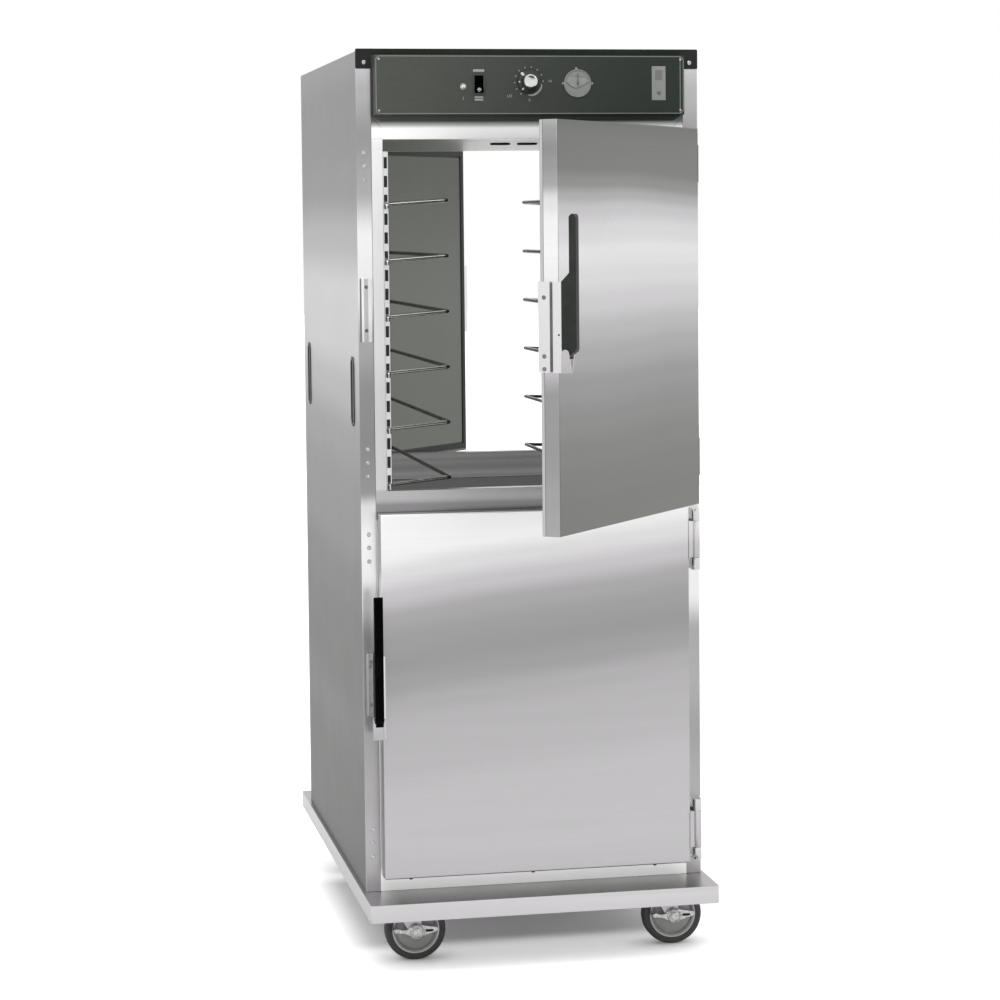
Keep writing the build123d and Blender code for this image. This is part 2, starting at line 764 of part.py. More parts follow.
def top_trim():
    """Moulding along the top front edge, with an ear down each post."""
    high = body_top + trim_rise
    low = high - trim_ear
    middle = (low + high) / 2
    outline = Pos(0, middle) * Rectangle(body_width, trim_ear)
    notch_high = high - trim_band
    outline -= Pos(0, (low + notch_high) / 2) * Rectangle(2 * post_inner, notch_high - low)
    outline = fillet(outline.vertices().group_by(Axis.X)[0], trim_thickness)
    outline = fillet(outline.vertices().group_by(Axis.X)[-1], trim_thickness)
    return fore_and_aft(outline, *at_front(0, trim_thickness))


def ceiling_duct():
    """Sheet box over the air holes of the ceiling, open underneath."""
    low = open_high + liner_sheet
    high = low + duct_height
    box = block(duct_x, duct_y, (low, high))
    inside_x = (duct_x[0] + duct_sheet, duct_x[1] - duct_sheet)
    inside_y = (duct_y[0] + duct_sheet, duct_y[1] - duct_sheet)
    box -= block(inside_x, inside_y, (low, high - duct_sheet))
    shaft_hole = motor_shaft_radius + fit_gap
    box -= rod((*blower_place, high - 2 * duct_sheet), (0, 0, 1), shaft_hole, 3 * duct_sheet)
    for x in heater_x:
        start = (x, duct_y[0] - duct_sheet, heater_height())
        box -= rod(start, (0, 1, 0), heater_rod_radius + running_gap, 3 * duct_sheet)
    return box


def heater_height():
    """Height of the heater rod in the duct."""
    return open_high + liner_sheet + duct_height / 2


def heater_element():
    """Sheathed rod bent to a hairpin, with both ends through the duct's wall."""
    outside = duct_y[0] - heater_rod_radius
    inside = duct_y[0] + heater_reach
    z = heater_height()
    corners = [(heater_x[0], outside, z), (heater_x[0], inside, z),
               (heater_x[1], inside, z), (heater_x[1], outside, z)]
    path = Polyline(*eased(corners, heater_bend))
    section = Plane(origin=corners[0], z_dir=(0, 1, 0)) * Circle(heater_rod_radius)
    return sweep(section, path=path, transition=Transition.RIGHT)


def blower_motor():
    """Motor on top of the duct, bored for the shaft of the blower wheel."""
    low = open_high + liner_sheet + duct_height
    motor = rod((*blower_place, low), (0, 0, 1), motor_radius, motor_height)
    motor = chamfer(motor.edges().sort_by(Axis.Z)[-1], motor_bevel)
    bore = motor_shaft_radius + running_gap
    return motor - rod((*blower_place, low), (0, 0, 1), bore, motor_bore)


def blower_wheel():
    """Bladed wheel under a back plate, with the shaft that runs up into the motor."""
    low = open_high + liner_sheet + blower_lift
    high = low + blower_height
    rim = blade_thickness
    plate = rod((*blower_place, high - rim), (0, 0, 1), blower_radius, rim)
    ring = rod((*blower_place, low), (0, 0, 1), blower_radius, rim)
    ring -= rod((*blower_place, low), (0, 0, 1), inlet_radius - rim, rim)
    wheel = plate + ring
    blade = block((inlet_radius, blower_radius - rim), (-rim / 2, rim / 2), (low, high))
    for i in range(blower_blades):
        wheel += Pos(*blower_place, 0) * Rot(0, 0, 360 * i / blower_blades) * blade
    shaft_top = open_high + liner_sheet + duct_height + motor_shaft_reach
    hub_low = low + blower_hub_lift
    wheel += rod((*blower_place, hub_low), (0, 0, 1), 2 * motor_shaft_radius, high - hub_low)
    return wheel + rod((*blower_place, high), (0, 0, 1), motor_shaft_radius, shaft_top - high)


def cord_gland():
    """Gland on the rear closure, with its bore open."""
    x, z = gland_place
    z += housing_low
    flange_radius, flange_sheet = gland_flange
    gland = outward(-x, z, gland_radius, -gland_inside, gland_length)
    gland += outward(-x, z, flange_radius, 0, flange_sheet)
    return half_turn(gland - outward(-x, z, gland_bore_radius, -gland_inside, gland_length))


def caster_place(side, end):
    """X and Y of a swivel axis: side is -1 or 1, end is -1 at the front and 1 at the rear."""
    return side * caster_x, end * (rear - caster_from_edge)


def caster_plate(x, y):
    """Top plate of a caster with its lower race and the kingpin."""
    high = caster_height
    low = high - caster_plate_sheet
    width, length = caster_plate_size
    plate = Pos(x, y, (low + high) / 2) * Box(width, length, caster_plate_sheet)
    plate += rod((x, y, low - race_height), (0, 0, 1), race_radius - race_step, race_height)
    crown_low = high - crown_drop
    pin_low = crown_low - race_gap - kingpin_nut
    plate += rod((x, y, pin_low), (0, 0, 1), kingpin_radius, low - pin_low)
    return plate + extrude(Pos(x, y, pin_low) * RegularPolygon(1.5 * kingpin_radius, 6), kingpin_nut)


def fork(x, y, braked):
    """Pressed fork: race cup, crown and two tapered legs. The axle bolt is a second solid."""
    crown_low = caster_height - crown_drop
    crown_high = crown_low + crown_sheet
    cup_high = caster_height - caster_plate_sheet - race_height - race_gap
    leg_in = tyre_width / 2 + wheel_side_gap
    leg_out = leg_in + leg_sheet
    body = block((x - crown_half, x + crown_half), (y - leg_out, y + leg_out), (crown_low, crown_high))
    cup = rod((x, y, crown_low), (0, 0, 1), race_radius, cup_high - crown_low)
    body += chamfer(cup.edges().sort_by(Axis.Z)[-1], cup_edge)
    shoulder = Pos(x, (crown_low + crown_high) / 2) * Rectangle(2 * crown_half, crown_sheet)
    foot = Pos(x + caster_trail, wheel_radius) * Circle(leg_end_radius)
    leg = make_hull(shoulder.edges() + foot.edges())
    leg -= Pos(x + caster_trail, wheel_radius) * Circle(axle_radius + running_gap)
    body += fore_and_aft(leg, y - leg_out, y - leg_in)
    body += fore_and_aft(leg, y + leg_in, y + leg_out)
    bore = rod((x, y, crown_low), (0, 0, 1), kingpin_radius + running_gap, cup_high - crown_low)
    return [body - bore, axle(x + caster_trail, y, leg_out, braked)]


def axle(x, y, leg_out, braked):
    """Axle bolt through both legs, longer at the front where it also carries a brake lever."""
    spacer = brake_sheet + 2 * fit_gap if braked else 0
    nut = leg_out + spacer
    bolt = rod((x, y - nut - axle_head, wheel_radius), (0, 1, 0), axle_radius,
               nut + leg_out + 2 * axle_head)
    hexagon = Pos(x, wheel_radius) * RegularPolygon(axle_head_radius, 6)
    bolt += fore_and_aft(hexagon, y + leg_out, y + leg_out + axle_head)
    return bolt + fore_and_aft(hexagon, y - nut - axle_head, y - nut)


def revolved(outline, x, y):
    """A closed outline of radius and width, turned about a wheel's axle."""
    shape = revolve(Plane.XZ * outline, axis=Axis.Z)
    return Pos(x + caster_trail, y, wheel_radius) * Rot(90, 0, 0) * shape


def wheel_core(x, y):
    """Hub, web and rim of a wheel."""
    bore = axle_radius + running_gap
    hub = tyre_width / 2 + wheel_side_gap - hub_side_gap
    rim_in = tyre_inner_radius - rim_sheet
    half = [(bore, hub), (hub_radius, hub), (hub_radius, web_half), (rim_in, web_half),
            (rim_in, rim_half), (tyre_inner_radius, rim_half)]
    other_half = [(r, -w) for r, w in reversed(half)]
    return revolved(make_face(Polyline(*half, *other_half, close=True)), x, y)


def tyre(x, y):
    """Rubber tyre with rounded shoulders."""
    middle = (tyre_inner_radius + wheel_radius) / 2
    outline = Pos(middle, 0) * Rectangle(wheel_radius - tyre_inner_radius, tyre_width)
    outline = chamfer(outline.vertices().group_by(Axis.X)[-1], tyre_shoulder / 2, tyre_shoulder)
    return revolved(outline, x, y)


def brake_lever(x, y):
    """Side brake of a front caster: two wings about the axle, with a pad on the outer one."""
    leg_out = tyre_width / 2 + wheel_side_gap + leg_sheet
    high = y - leg_out - fit_gap
    low = high - brake_sheet
    axle_x = x + caster_trail
    boss = Pos(axle_x, wheel_radius) * Circle(brake_boss_radius)
    tips = (-brake_wings[0], brake_wings[1])
    outline = boss
    for tip in tips:
        end = Pos(axle_x + tip, wheel_radius + brake_end_radius) * Circle(brake_end_radius)
        outline += make_hull(boss.edges() + end.edges())
    outline -= Pos(axle_x, wheel_radius) * Circle(axle_radius + running_gap)
    pad = Pos(axle_x + tips[0], wheel_radius + brake_end_radius) * Circle(brake_end_radius - 1)
    return fore_and_aft(outline, low, high) + fore_and_aft(pad, low - brake_sheet, low)


def door_pieces(z_low, z_high, hinge_from_bottom):
    """The pieces of a closed front door, by the last part of their names."""
    low = latch_low(z_low, z_high)
    leaves = [hinge_door_leaf(z) for z in hinge_heights(z_low, z_high, hinge_from_bottom)]
    return {
        "outer_pan": [door_outer_pan(z_low, z_high), *leaves],
        "inner_pan": [door_inner_pan(z_low, z_high)],
        "gasket": [door_gasket(z_low, z_high)],
        "latch": [door_latch(low)],
        "lever": [door_lever(low)],
    }


def both_ends(shapes):
    """Shapes at the front and their half-turned copies at the rear."""
    return shapes + [half_turn(shape) for shape in shapes]


doors = {
    "upper": (upper_door_z, upper_hinge_from_bottom),
    "lower": (lower_door_z, lower_hinge_from_bottom),
}
open_angles = {"upper": (upper_front_open, upper_rear_open), "lower": (0, 0)}
right_panel = side_panel()
brackets = []
strikes = []
nodes = {}

for level, (span, from_bottom) in doors.items():
    brackets += [hinge_bracket(z) for z in hinge_heights(*span, from_bottom)]
    strikes.append(strike(latch_low(*span)))
    front_angle, rear_angle = open_angles[level]
    for piece, solids in door_pieces(*span, from_bottom).items():
        nodes[f"door_{level}_front_{piece}"] = [swung(s, front_angle) for s in solids]
        nodes[f"door_{level}_rear_{piece}"] = [half_turn(swung(s, rear_angle)) for s in solids]

compartments = ((crossbar_high, open_high), (open_low, crossbar_low))
uprights = []
wires = []
for low, high in compartments:
    left = upright(low, high)
    uprights += both_ends([left, mirror(left, about=Plane.YZ)])
    for z in slot_heights(high - upright_drop)[top_slot_count::slide_slot_count]:
        wires += slides(z)

grips = [hand_grip(y) for y in grip_rows()]
plates = []
for end_name, end in (("front", -1), ("rear", 1)):
    for side_name, side in (("left", -1), ("right", 1)):
        x, y = caster_place(side, end)
        name = f"caster_{end_name}_{side_name}"
        braked = end < 0
        plates.append(caster_plate(x, y))
        nodes[f"{name}_fork"] = fork(x, y, braked)
        nodes[f"{name}_wheel_core"] = [wheel_core(x, y)]
        nodes[f"{name}_tyre"] = [tyre(x, y)]
        if braked:
            nodes[f"{name}_brake_lever"] = [brake_lever(x, y)]

nodes.update({
    "side_panel_right": [right_panel],
    "side_panel_left": [half_turn(right_panel)],
    "top_panel": [top_panel()],
    "wall_insulation": [wall_insulation()],
    "inner_liner": [inner_liner()],
    "front_frame": [front_frame()],
    "rear_frame": [rear_frame()],
    "base_pan": [base_pan()],
    "hinge_brackets": both_ends(brackets),
    "latch_strikes": both_ends(strikes),
    "hand_grips": both_ends(grips),
    "rack_uprights": uprights,
    "wire_slides": wires,
    "caster_plates": plates,
    "control_housing": [control_housing(), drip_rail()],
    "top_trim": [top_trim()],
    "indicator_lamp": [indicator_lamp()],
    "power_rocker": [power_rocker()],
    "thermostat_knob": [thermostat_knob()],
    "thermometer_case": [thermometer_case()],
    "thermometer_needle": [thermometer_needle()],
    "ceiling_duct": [ceiling_duct()],
    "heater_element": [heater_element()],
    "blower_motor": [blower_motor()],
    "blower_wheel": [blower_wheel()],
    "cord_gland": [cord_gland()],
})

os.makedirs("parts", exist_ok=True)
for name, shapes in nodes.items():
    solids = [solid for shape in shapes for solid in shape.solids()]
    export_step(Compound(solids), f"parts/{name}.step")
print(len(nodes), "nodes")
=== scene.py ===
"""Looks of a food holding cabinet, built round its packed construction model.

Lengths are in metres in the cabinet's own frame: X to the right of a person at the front,
Y from the front to the rear and Z up from the floor. Sizes are written in millimetres and
brought to metres by MM.
"""

import json
import logging
from collections.abc import Callable, Iterable, Sequence
from dataclasses import dataclass, field
from enum import Enum
from math import cos, pi, radians, sin

import bmesh
import bpy
from mathutils import Matrix, Vector

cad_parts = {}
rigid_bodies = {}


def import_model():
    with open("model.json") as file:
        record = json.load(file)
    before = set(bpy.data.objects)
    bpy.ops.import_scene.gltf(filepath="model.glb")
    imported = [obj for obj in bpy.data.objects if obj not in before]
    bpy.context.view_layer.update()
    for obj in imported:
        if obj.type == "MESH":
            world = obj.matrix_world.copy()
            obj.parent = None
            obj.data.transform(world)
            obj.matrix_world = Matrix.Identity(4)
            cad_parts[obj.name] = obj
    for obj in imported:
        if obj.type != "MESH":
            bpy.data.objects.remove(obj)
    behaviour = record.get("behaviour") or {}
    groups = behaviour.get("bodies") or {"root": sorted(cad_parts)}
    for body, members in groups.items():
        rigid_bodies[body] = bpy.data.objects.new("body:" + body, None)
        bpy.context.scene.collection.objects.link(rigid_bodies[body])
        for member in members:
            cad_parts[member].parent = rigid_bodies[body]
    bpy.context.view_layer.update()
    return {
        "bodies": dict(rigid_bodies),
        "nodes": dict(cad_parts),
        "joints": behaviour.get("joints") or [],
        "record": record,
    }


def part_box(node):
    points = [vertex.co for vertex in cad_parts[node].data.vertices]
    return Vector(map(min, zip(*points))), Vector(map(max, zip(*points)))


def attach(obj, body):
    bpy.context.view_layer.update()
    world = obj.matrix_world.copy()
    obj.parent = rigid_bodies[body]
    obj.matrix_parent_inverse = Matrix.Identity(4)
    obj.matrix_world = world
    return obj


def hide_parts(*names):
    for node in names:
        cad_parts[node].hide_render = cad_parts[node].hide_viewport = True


log = logging.getLogger("holding_cabinet")
MM = 0.001
TIP = 0.02 * MM
WELD = 0.01 * MM
BODY_FRONT = -447.5 * MM
Colour = tuple[float, float, float]
Point = tuple[float, float, float]
Stops = tuple[tuple[float, float], ...]
Span = tuple[float, float]
Mesh = bpy.types.Object


def mm(pairs: Iterable[Span]) -> list[Span]:
    """Pairs of lengths in millimetres, brought to metres."""
    return [(first * MM, second * MM) for first, second in pairs]


# ------------------------------------------------------------------ shader values and graphs
class Value:
    """A shader socket that takes part in Python expressions."""

    def __init__(self, graph: "Graph", socket: bpy.types.NodeSocket) -> None:
        """Keeps the socket and the graph that it belongs to."""
        self.graph = graph
        self.socket = socket

    def _maths(self, operation: str, *terms: object) -> "Value":
        """Adds one Math node over the terms."""
        return self.graph.node("ShaderNodeMath", {"operation": operation}, terms)

    def __add__(self, other: object) -> "Value":
        """Sum."""
        return self._maths("ADD", self, other)

    def __sub__(self, other: object) -> "Value":
        """Difference."""
        return self._maths("SUBTRACT", self, other)

    def __rsub__(self, other: object) -> "Value":
        """Difference from a number."""
        return self._maths("SUBTRACT", other, self)

    def __mul__(self, other: object) -> "Value":
        """Product."""
        return self._maths("MULTIPLY", self, other)

    def __truediv__(self, other: object) -> "Value":
        """Quotient."""
        return self._maths("DIVIDE", self, other)

    def __pow__(self, other: object) -> "Value":
        """Power."""
        return self._maths("POWER", self, other)

    __radd__ = __add__
    __rmul__ = __mul__

    def size(self) -> "Value":
        """Absolute value."""
        return self._maths("ABSOLUTE", self)

    def larger(self, other: object) -> "Value":
        """The larger of two values."""
        return self._maths("MAXIMUM", self, other)

    def eased(self, low: float, high: float) -> "Value":
        """A smooth step from 0 at low to 1 at high."""
        settings = {"interpolation_type": "SMOOTHSTEP"}
        return self.graph.node("ShaderNodeMapRange", settings, (self, low, high))


class Graph:
    """The node tree of a material or of the world."""

    def __init__(self, tree: bpy.types.NodeTree) -> None:
        """Empties the tree and takes it over."""
        self.tree = tree
        tree.nodes.clear()

    def node(self, kind: str, settings: dict | None = None, inputs: object = (),
             output: int | str = 0) -> Value:
        """Adds a node.

        Args:
            kind: the node's type.
            settings: attributes that are set first; "stops" fills a colour ramp with greys.
            inputs: values or links, in order or by the sockets' names or numbers.
            output: the output socket that is returned.
        Returns:
            That output as a value.
        """
        made = self.tree.nodes.new(kind)
        for key, value in (settings or {}).items():
            if key == "stops":
                self._fill(made.color_ramp, value)
            else:
                setattr(made, key, value)
        pairs = inputs.items() if isinstance(inputs, dict) else enumerate(inputs)
        for key, value in pairs:
            self.feed(made.inputs[key], value)
        return Value(self, made.outputs[output])

    @staticmethod
    def _fill(ramp: bpy.types.ColorRamp, stops: Stops) -> None:
        """Sets a ramp's stops to grey levels.

        Args:
            ramp: the colour ramp.
            stops: positions from 0 to 1, each with its grey level.
        """
        ramp.interpolation = "EASE"
        while len(ramp.elements) < len(stops):
            ramp.elements.new(1.0)
        for element, (position, level) in zip(ramp.elements, stops):
            element.position = position
            element.color = (level, level, level, 1.0)

    def feed(self, socket: bpy.types.NodeSocket, value: object) -> None:
        """Links a value to a socket, or sets the socket to a constant.

        Args:
            socket: the input socket.
            value: a value to link, a number or a colour.
        """
        if isinstance(value, Value):
            self.tree.links.new(value.socket, socket)
        elif isinstance(value, tuple) and len(value) == 3 and socket.type == "RGBA":
            socket.default_value = (*value, 1.0)
        else:
            socket.default_value = value

    def close(self, kind: str, surface: Value) -> None:
        """Adds the output node and links the surface to it."""
        output = self.tree.nodes.new(kind)
        self.tree.links.new(surface.socket, output.inputs["Surface"])

    def place(self) -> Value:
        """The point in the piece's own coordinates."""
        return self.node("ShaderNodeTexCoord", output="Object")

    def axes(self) -> tuple[Value, Value, Value]:
        """The point's X, Y and Z.

        Returns:
            The three coordinates as values.
        """
        first = self.node("ShaderNodeSeparateXYZ", inputs=(self.place(),))
        outputs = first.socket.node.outputs
        return first, Value(self, outputs[1]), Value(self, outputs[2])

    def noise(self, scale: float, stretch: Point = (1, 1, 1), detail: float = 3.0) -> Value:
        """Smooth noise between 0 and 1, drawn out along the axes with a small stretch number.

        Args:
            scale: how fine the noise is, in cells to the metre.
            stretch: a factor on each axis; a small one draws the noise out.
            detail: the number of finer layers.
        Returns:
            The noise as a value.
        """
        where = self.node("ShaderNodeMapping", inputs={"Vector": self.place(), "Scale": stretch})
        sockets = {"Vector": where, "Scale": scale, "Detail": detail}
        return self.node("ShaderNodeTexNoise", inputs=sockets)

    def mix(self, first: object, second: object, share: object, blend: str = "MIX") -> Value:
        """Mixes two colours by a share from 0 to 1."""
        settings = {"data_type": "RGBA", "blend_type": blend}
        return self.node("ShaderNodeMix", settings, {0: share, 6: first, 7: second}, 2)

    def ramp(self, stops: Stops, level: Value) -> Value:
        """Grey tones along a value."""
        return self.node("ShaderNodeValToRGB", {"stops": stops}, (level,))

    def grey(self, level: Value, low: float, high: float) -> Value:
        """A grey that runs from low to high as a value goes from 0 to 1."""
        return self.ramp(((0.0, low), (1.0, high)), level)

    def bump(self, height: Value, distance: float, strength: float = 1.0) -> Value:
        """A normal bent by a height field, whose full height is a distance."""
        sockets = {"Height": height, "Distance": distance, "Strength": strength}
        return self.node("ShaderNodeBump", inputs=sockets)


@dataclass(frozen=True)
class Finish:
    """What every finish has: its name and how its surface is made."""

    name: str

    def sockets(self, graph: Graph) -> dict[str, object]:
        """The surface's sockets by name, to be given by each kind of finish."""
        raise NotImplementedError

    def material(self) -> bpy.types.Material:
        """Makes the material, once for each finish.

        Returns:
            The material, new or from an earlier call.
        """
        made = bpy.data.materials.get(self.name)
        if made:
            return made
        made = bpy.data.materials.new(self.name)
        made.use_nodes = True
        graph = Graph(made.node_tree)
        shader = graph.node("ShaderNodeBsdfPrincipled", inputs=self.sockets(graph))
        graph.close("ShaderNodeOutputMaterial", shader)
        return made

    def dress(self, *pieces: Mesh) -> None:
        """Puts the finish on pieces, all over.

        Args:
            pieces: the pieces, which lose any other material.
        """
        for piece in pieces:
            piece.data.materials.clear()
            piece.data.materials.append(self.material())


class Grain(Enum):
    """The way that a brushed sheet's lines run, as a stretch of the noise along each axis."""

    UPRIGHT = (1.0, 1.0, 0.012)
    LEVEL = (0.012, 0.012, 1.0)


@dataclass(frozen=True)
class BrushedSteel(Finish):
    """Stainless sheet: fine grain, painted reflection and shade bands, faint smudges, oil
    canning.

    tones are painted reflection and shade bands that run up the sheet over span. Past the plane
    given by rim_way and rim_at the sheet has its rim tones, painted the same way for its edge
    faces, and climb tilts the bands with the distance from that plane. ends are the painted tones
    of the faces at both ends along Y, or across along X. top_level is the painted reflection tone
    of an upward face. fill is painted light, an emission that brightens the sheet, and
    painted_glow_inside the same for its inside faces.
    """

    tones: Stops = ((0.0, 0.5), (1.0, 0.5))
    span: Span = (0.0, 1.0)
    wander: float = 0.06
    grain: Grain = Grain.UPRIGHT
    roughness: float = 0.3
    tint: Colour | None = None
    glance: float = 1.0
    fill: Stops = ()
    painted_glow_inside: Stops = ()
    inside: float = 418.0 * MM
    rim: Stops = ()
    rim_way: Point = (-1.0, 0.0, 0.0)
    rim_at: float = 0.0
    climb: float = 0.0
    ends: Stops = ()
    ends_from: float = 446.7 * MM
    ends_across: bool = False
    top_level: float = 0.0
    top_band: float = 0.4 * MM
    top_ends: tuple[float, float, float] = (0.0, 0.0, 0.0)

    def sockets(self, graph: Graph) -> dict[str, object]:
        """Painted reflection tones by height, with the grain in colour, roughness and bump.

        Args:
            graph: the material's graph.
        Returns:
            The surface's sockets by name.
        """
        x, y, z = graph.axes()
        low, high = self.span
        height = z - low
        if self.wander:
            height = height + graph.noise(1.6, detail=1.0) * self.wander - self.wander / 2
        beyond = None
        if self.rim:
            way = self.rim_way
            beyond = x * way[0] + y * way[1] + z * way[2] - self.rim_at
            height = height + beyond * self.climb
        height = height / (high - low)
        # Painted reflection and shade bands up the sheet, then on its edge, end and top faces.
        tone = graph.ramp(self.tones, height)
        if self.rim:
            past = beyond.eased(-0.5 * MM, -0.1 * MM)
            tone = graph.mix(tone, graph.ramp(self.rim, height), past)
        if self.ends:
            along = x if self.ends_across else y
            at_end = along.size().eased(self.ends_from - 0.4 * MM, self.ends_from)
            tone = graph.mix(tone, graph.ramp(self.ends, height), at_end)
        if self.top_level:
            level = self.top_level
            if self.top_ends[2]:
                start, full, end_level = self.top_ends
                level = x.size().eased(start, full) * (end_level - level) + level
            on_top = z.eased(high - self.top_band, high - self.top_band / 4)
            tone = graph.mix(tone, level if isinstance(level, Value) else (level,) * 3, on_top)
        lines = graph.noise(420.0, self.grain.value, 2.0)
        streaks = graph.noise(60.0, self.grain.value, 2.0)
        smudge = graph.noise(7.0)
        shade = graph.grey(lines * 0.5 + streaks * 0.5, 0.955, 1.035)
        tint = self.tint or self.cast(graph, tone)
        if self.tint and self.rim:
            tint = graph.mix(self.tint, (1.0, 0.985, 1.0), past)
        colour = graph.mix(graph.mix(tone, shade, 1.0, "MULTIPLY"), tint, 1.0, "MULTIPLY")
        buckle = graph.bump(graph.noise(2.3, detail=0.0), 0.0015)
        normal = graph.node("ShaderNodeBump", inputs={
            "Height": lines, "Distance": 0.00002, "Strength": 0.5, "Normal": buckle})
        rough = lines * 0.05 + smudge * 0.08 + (self.roughness - 0.065)
        sockets = {"Base Color": colour, "Metallic": 1.0, "Roughness": rough, "Normal": normal,
                   "Specular Tint": (self.glance,) * 3}
        # The emission is painted light that brightens the sheet.
        if self.fill or self.painted_glow_inside:
            dark = ((0.0, 0.0), (1.0, 0.0))
            inside = y.size().eased(self.inside, self.inside - 0.2 * MM)
            given = graph.mix(graph.ramp(self.fill or dark, height),
                              graph.ramp(self.painted_glow_inside or self.fill, height), inside)
            sockets["Emission Color"] = graph.mix(given, shade, 1.0, "MULTIPLY")
            sockets["Emission Strength"] = 1.0
        return sockets

    @staticmethod
    def cast(graph: Graph, tone: Value) -> Value:
        """Colour cast of the painted reflections: faintly green when dark, faintly violet in the
        middle.
        """
        middle = graph.mix((0.985, 1.0, 0.93), (1.0, 0.98, 1.0), tone.eased(0.16, 0.32))
        return graph.mix(middle, (1.0, 0.99, 1.0), tone.eased(0.6, 0.85))


@dataclass(frozen=True)
class PolishedMetal(Finish):
    """Chrome, zinc plate or turned steel: fine scratches, and a darkening in a slow noise."""

    colour: Colour = (0.72, 0.72, 0.72)
    dark: float = 0.8
    roughness: float = 0.16
    cloud_scale: float = 28.0
    # outer is a painted reflection colour for what lies past painted_reflection_from from the
    # middle plane.
    outer: Colour = (0.0, 0.0, 0.0)
    painted_reflection_from: float = 0.0

    def sockets(self, graph: Graph) -> dict[str, object]:
        """Colour with a cloudy darkening, scratches in the roughness.

        Args:
            graph: the material's graph.
        Returns:
            The surface's sockets by name.
        """
        cloud = graph.noise(self.cloud_scale)
        scratch = graph.noise(300.0, (1.0, 0.15, 0.4), 2.0)
        colour = self.colour
        # Past painted_reflection_from the colour turns to outer: a painted reflection.
        if self.painted_reflection_from:
            x, _, _ = graph.axes()
            outside = x.size().eased(self.painted_reflection_from - 0.3 * MM, self.painted_reflection_from)
            colour = graph.mix(colour, self.outer, outside)
        colour = graph.mix(colour, graph.grey(cloud, self.dark, 1.0), 1.0, "MULTIPLY")
        rough = scratch * 0.06 + cloud * 0.05 + (self.roughness - 0.055)
        normal = graph.bump(scratch, 0.00004, 0.4)
        return {"Base Color": colour, "Metallic": 1.0, "Roughness": rough, "Normal": normal}


@dataclass(frozen=True)
class PaintedSheet(Finish):
    """Painted or printed sheet, with a faint orange peel and painted light, lighter at the left.
    """

    left: Colour = (0.09, 0.1, 0.09)
    right: Colour = (0.04, 0.05, 0.04)
    reach: Span = (-0.32, 0.32)
    roughness: float = 0.36
    gloss: float = 0.2

    def sockets(self, graph: Graph) -> dict[str, object]:
        """Colour from left to right as painted light, with a fine mottle, orange peel in the
        bump.

        Args:
            graph: the material's graph.
        Returns:
            The surface's sockets by name.
        """
        x, _, _ = graph.axes()
        across = x.eased(*self.reach)
        mottle = graph.grey(graph.noise(90.0), 0.93, 1.06)
        base = graph.mix(self.left, self.right, across)
        colour = graph.mix(base, mottle, 1.0, "MULTIPLY")
        peel = graph.noise(600.0, detail=1.0)
        rough = graph.noise(14.0) * 0.1 + (self.roughness - 0.05)
        return {"Base Color": colour, "Metallic": 0.0, "Roughness": rough,
                "Specular IOR Level": self.gloss, "Normal": graph.bump(peel, 0.00004, 0.5)}


@dataclass(frozen=True)
class Moulded(Finish):
    """Moulded plastic or rubber with a fine grain, dust and slightly worn, paler high spots."""

    colour: Colour = (0.02, 0.022, 0.02)
    worn: Colour = (0.04, 0.043, 0.04)
    roughness: float = 0.42
    grain: float = 0.00006
    scale: float = 900.0
    gloss: float = 0.2

    def sockets(self, graph: Graph) -> dict[str, object]:
        """Colour that drifts to the worn one, grain in the bump.

        Args:
            graph: the material's graph.
        Returns:
            The surface's sockets by name.
        """
        drift = graph.noise(22.0).eased(0.35, 0.75)
        colour = graph.mix(self.colour, self.worn, drift)
        fine = graph.noise(self.scale, detail=1.0)
        rough = fine * 0.08 + drift * 0.08 + (self.roughness - 0.08)
        return {"Base Color": colour, "Metallic": 0.0, "Roughness": rough,
                "Specular IOR Level": self.gloss, "Normal": graph.bump(fine, self.grain, 0.6)}


@dataclass(frozen=True)
class MineralWool(Finish):
    """Loose fibres, yellowish, with a deep soft bump."""

    colour: Colour = (0.62, 0.52, 0.26)

    def sockets(self, graph: Graph) -> dict[str, object]:
        """Fibres as a stretched noise in colour and bump.

        Args:
            graph: the material's graph.
        Returns:
            The surface's sockets by name.
        """
        fibre = graph.noise(180.0, (1.0, 0.3, 1.0))
        colour = graph.mix(self.colour, (0.8, 0.72, 0.45), fibre)
        return {"Base Color": colour, "Roughness": 0.95, "Normal": graph.bump(fibre, 0.002)}


# ------------------------------------------------------------------ bench work
class Facing(Enum):
    """The way that a turned or pressed piece faces."""

    FRONT = (0, -1, 0)
    REAR = (0, 1, 0)
    LEFT = (-1, 0, 0)
    RIGHT = (1, 0, 0)
    UP = (0, 0, 1)
    DOWN = (0, 0, -1)

    @property
    def matrix(self) -> Matrix:
        """The turn that brings +Z to this facing."""
        return Vector((0, 0, 1)).rotation_difference(Vector(self.value)).to_matrix().to_4x4()


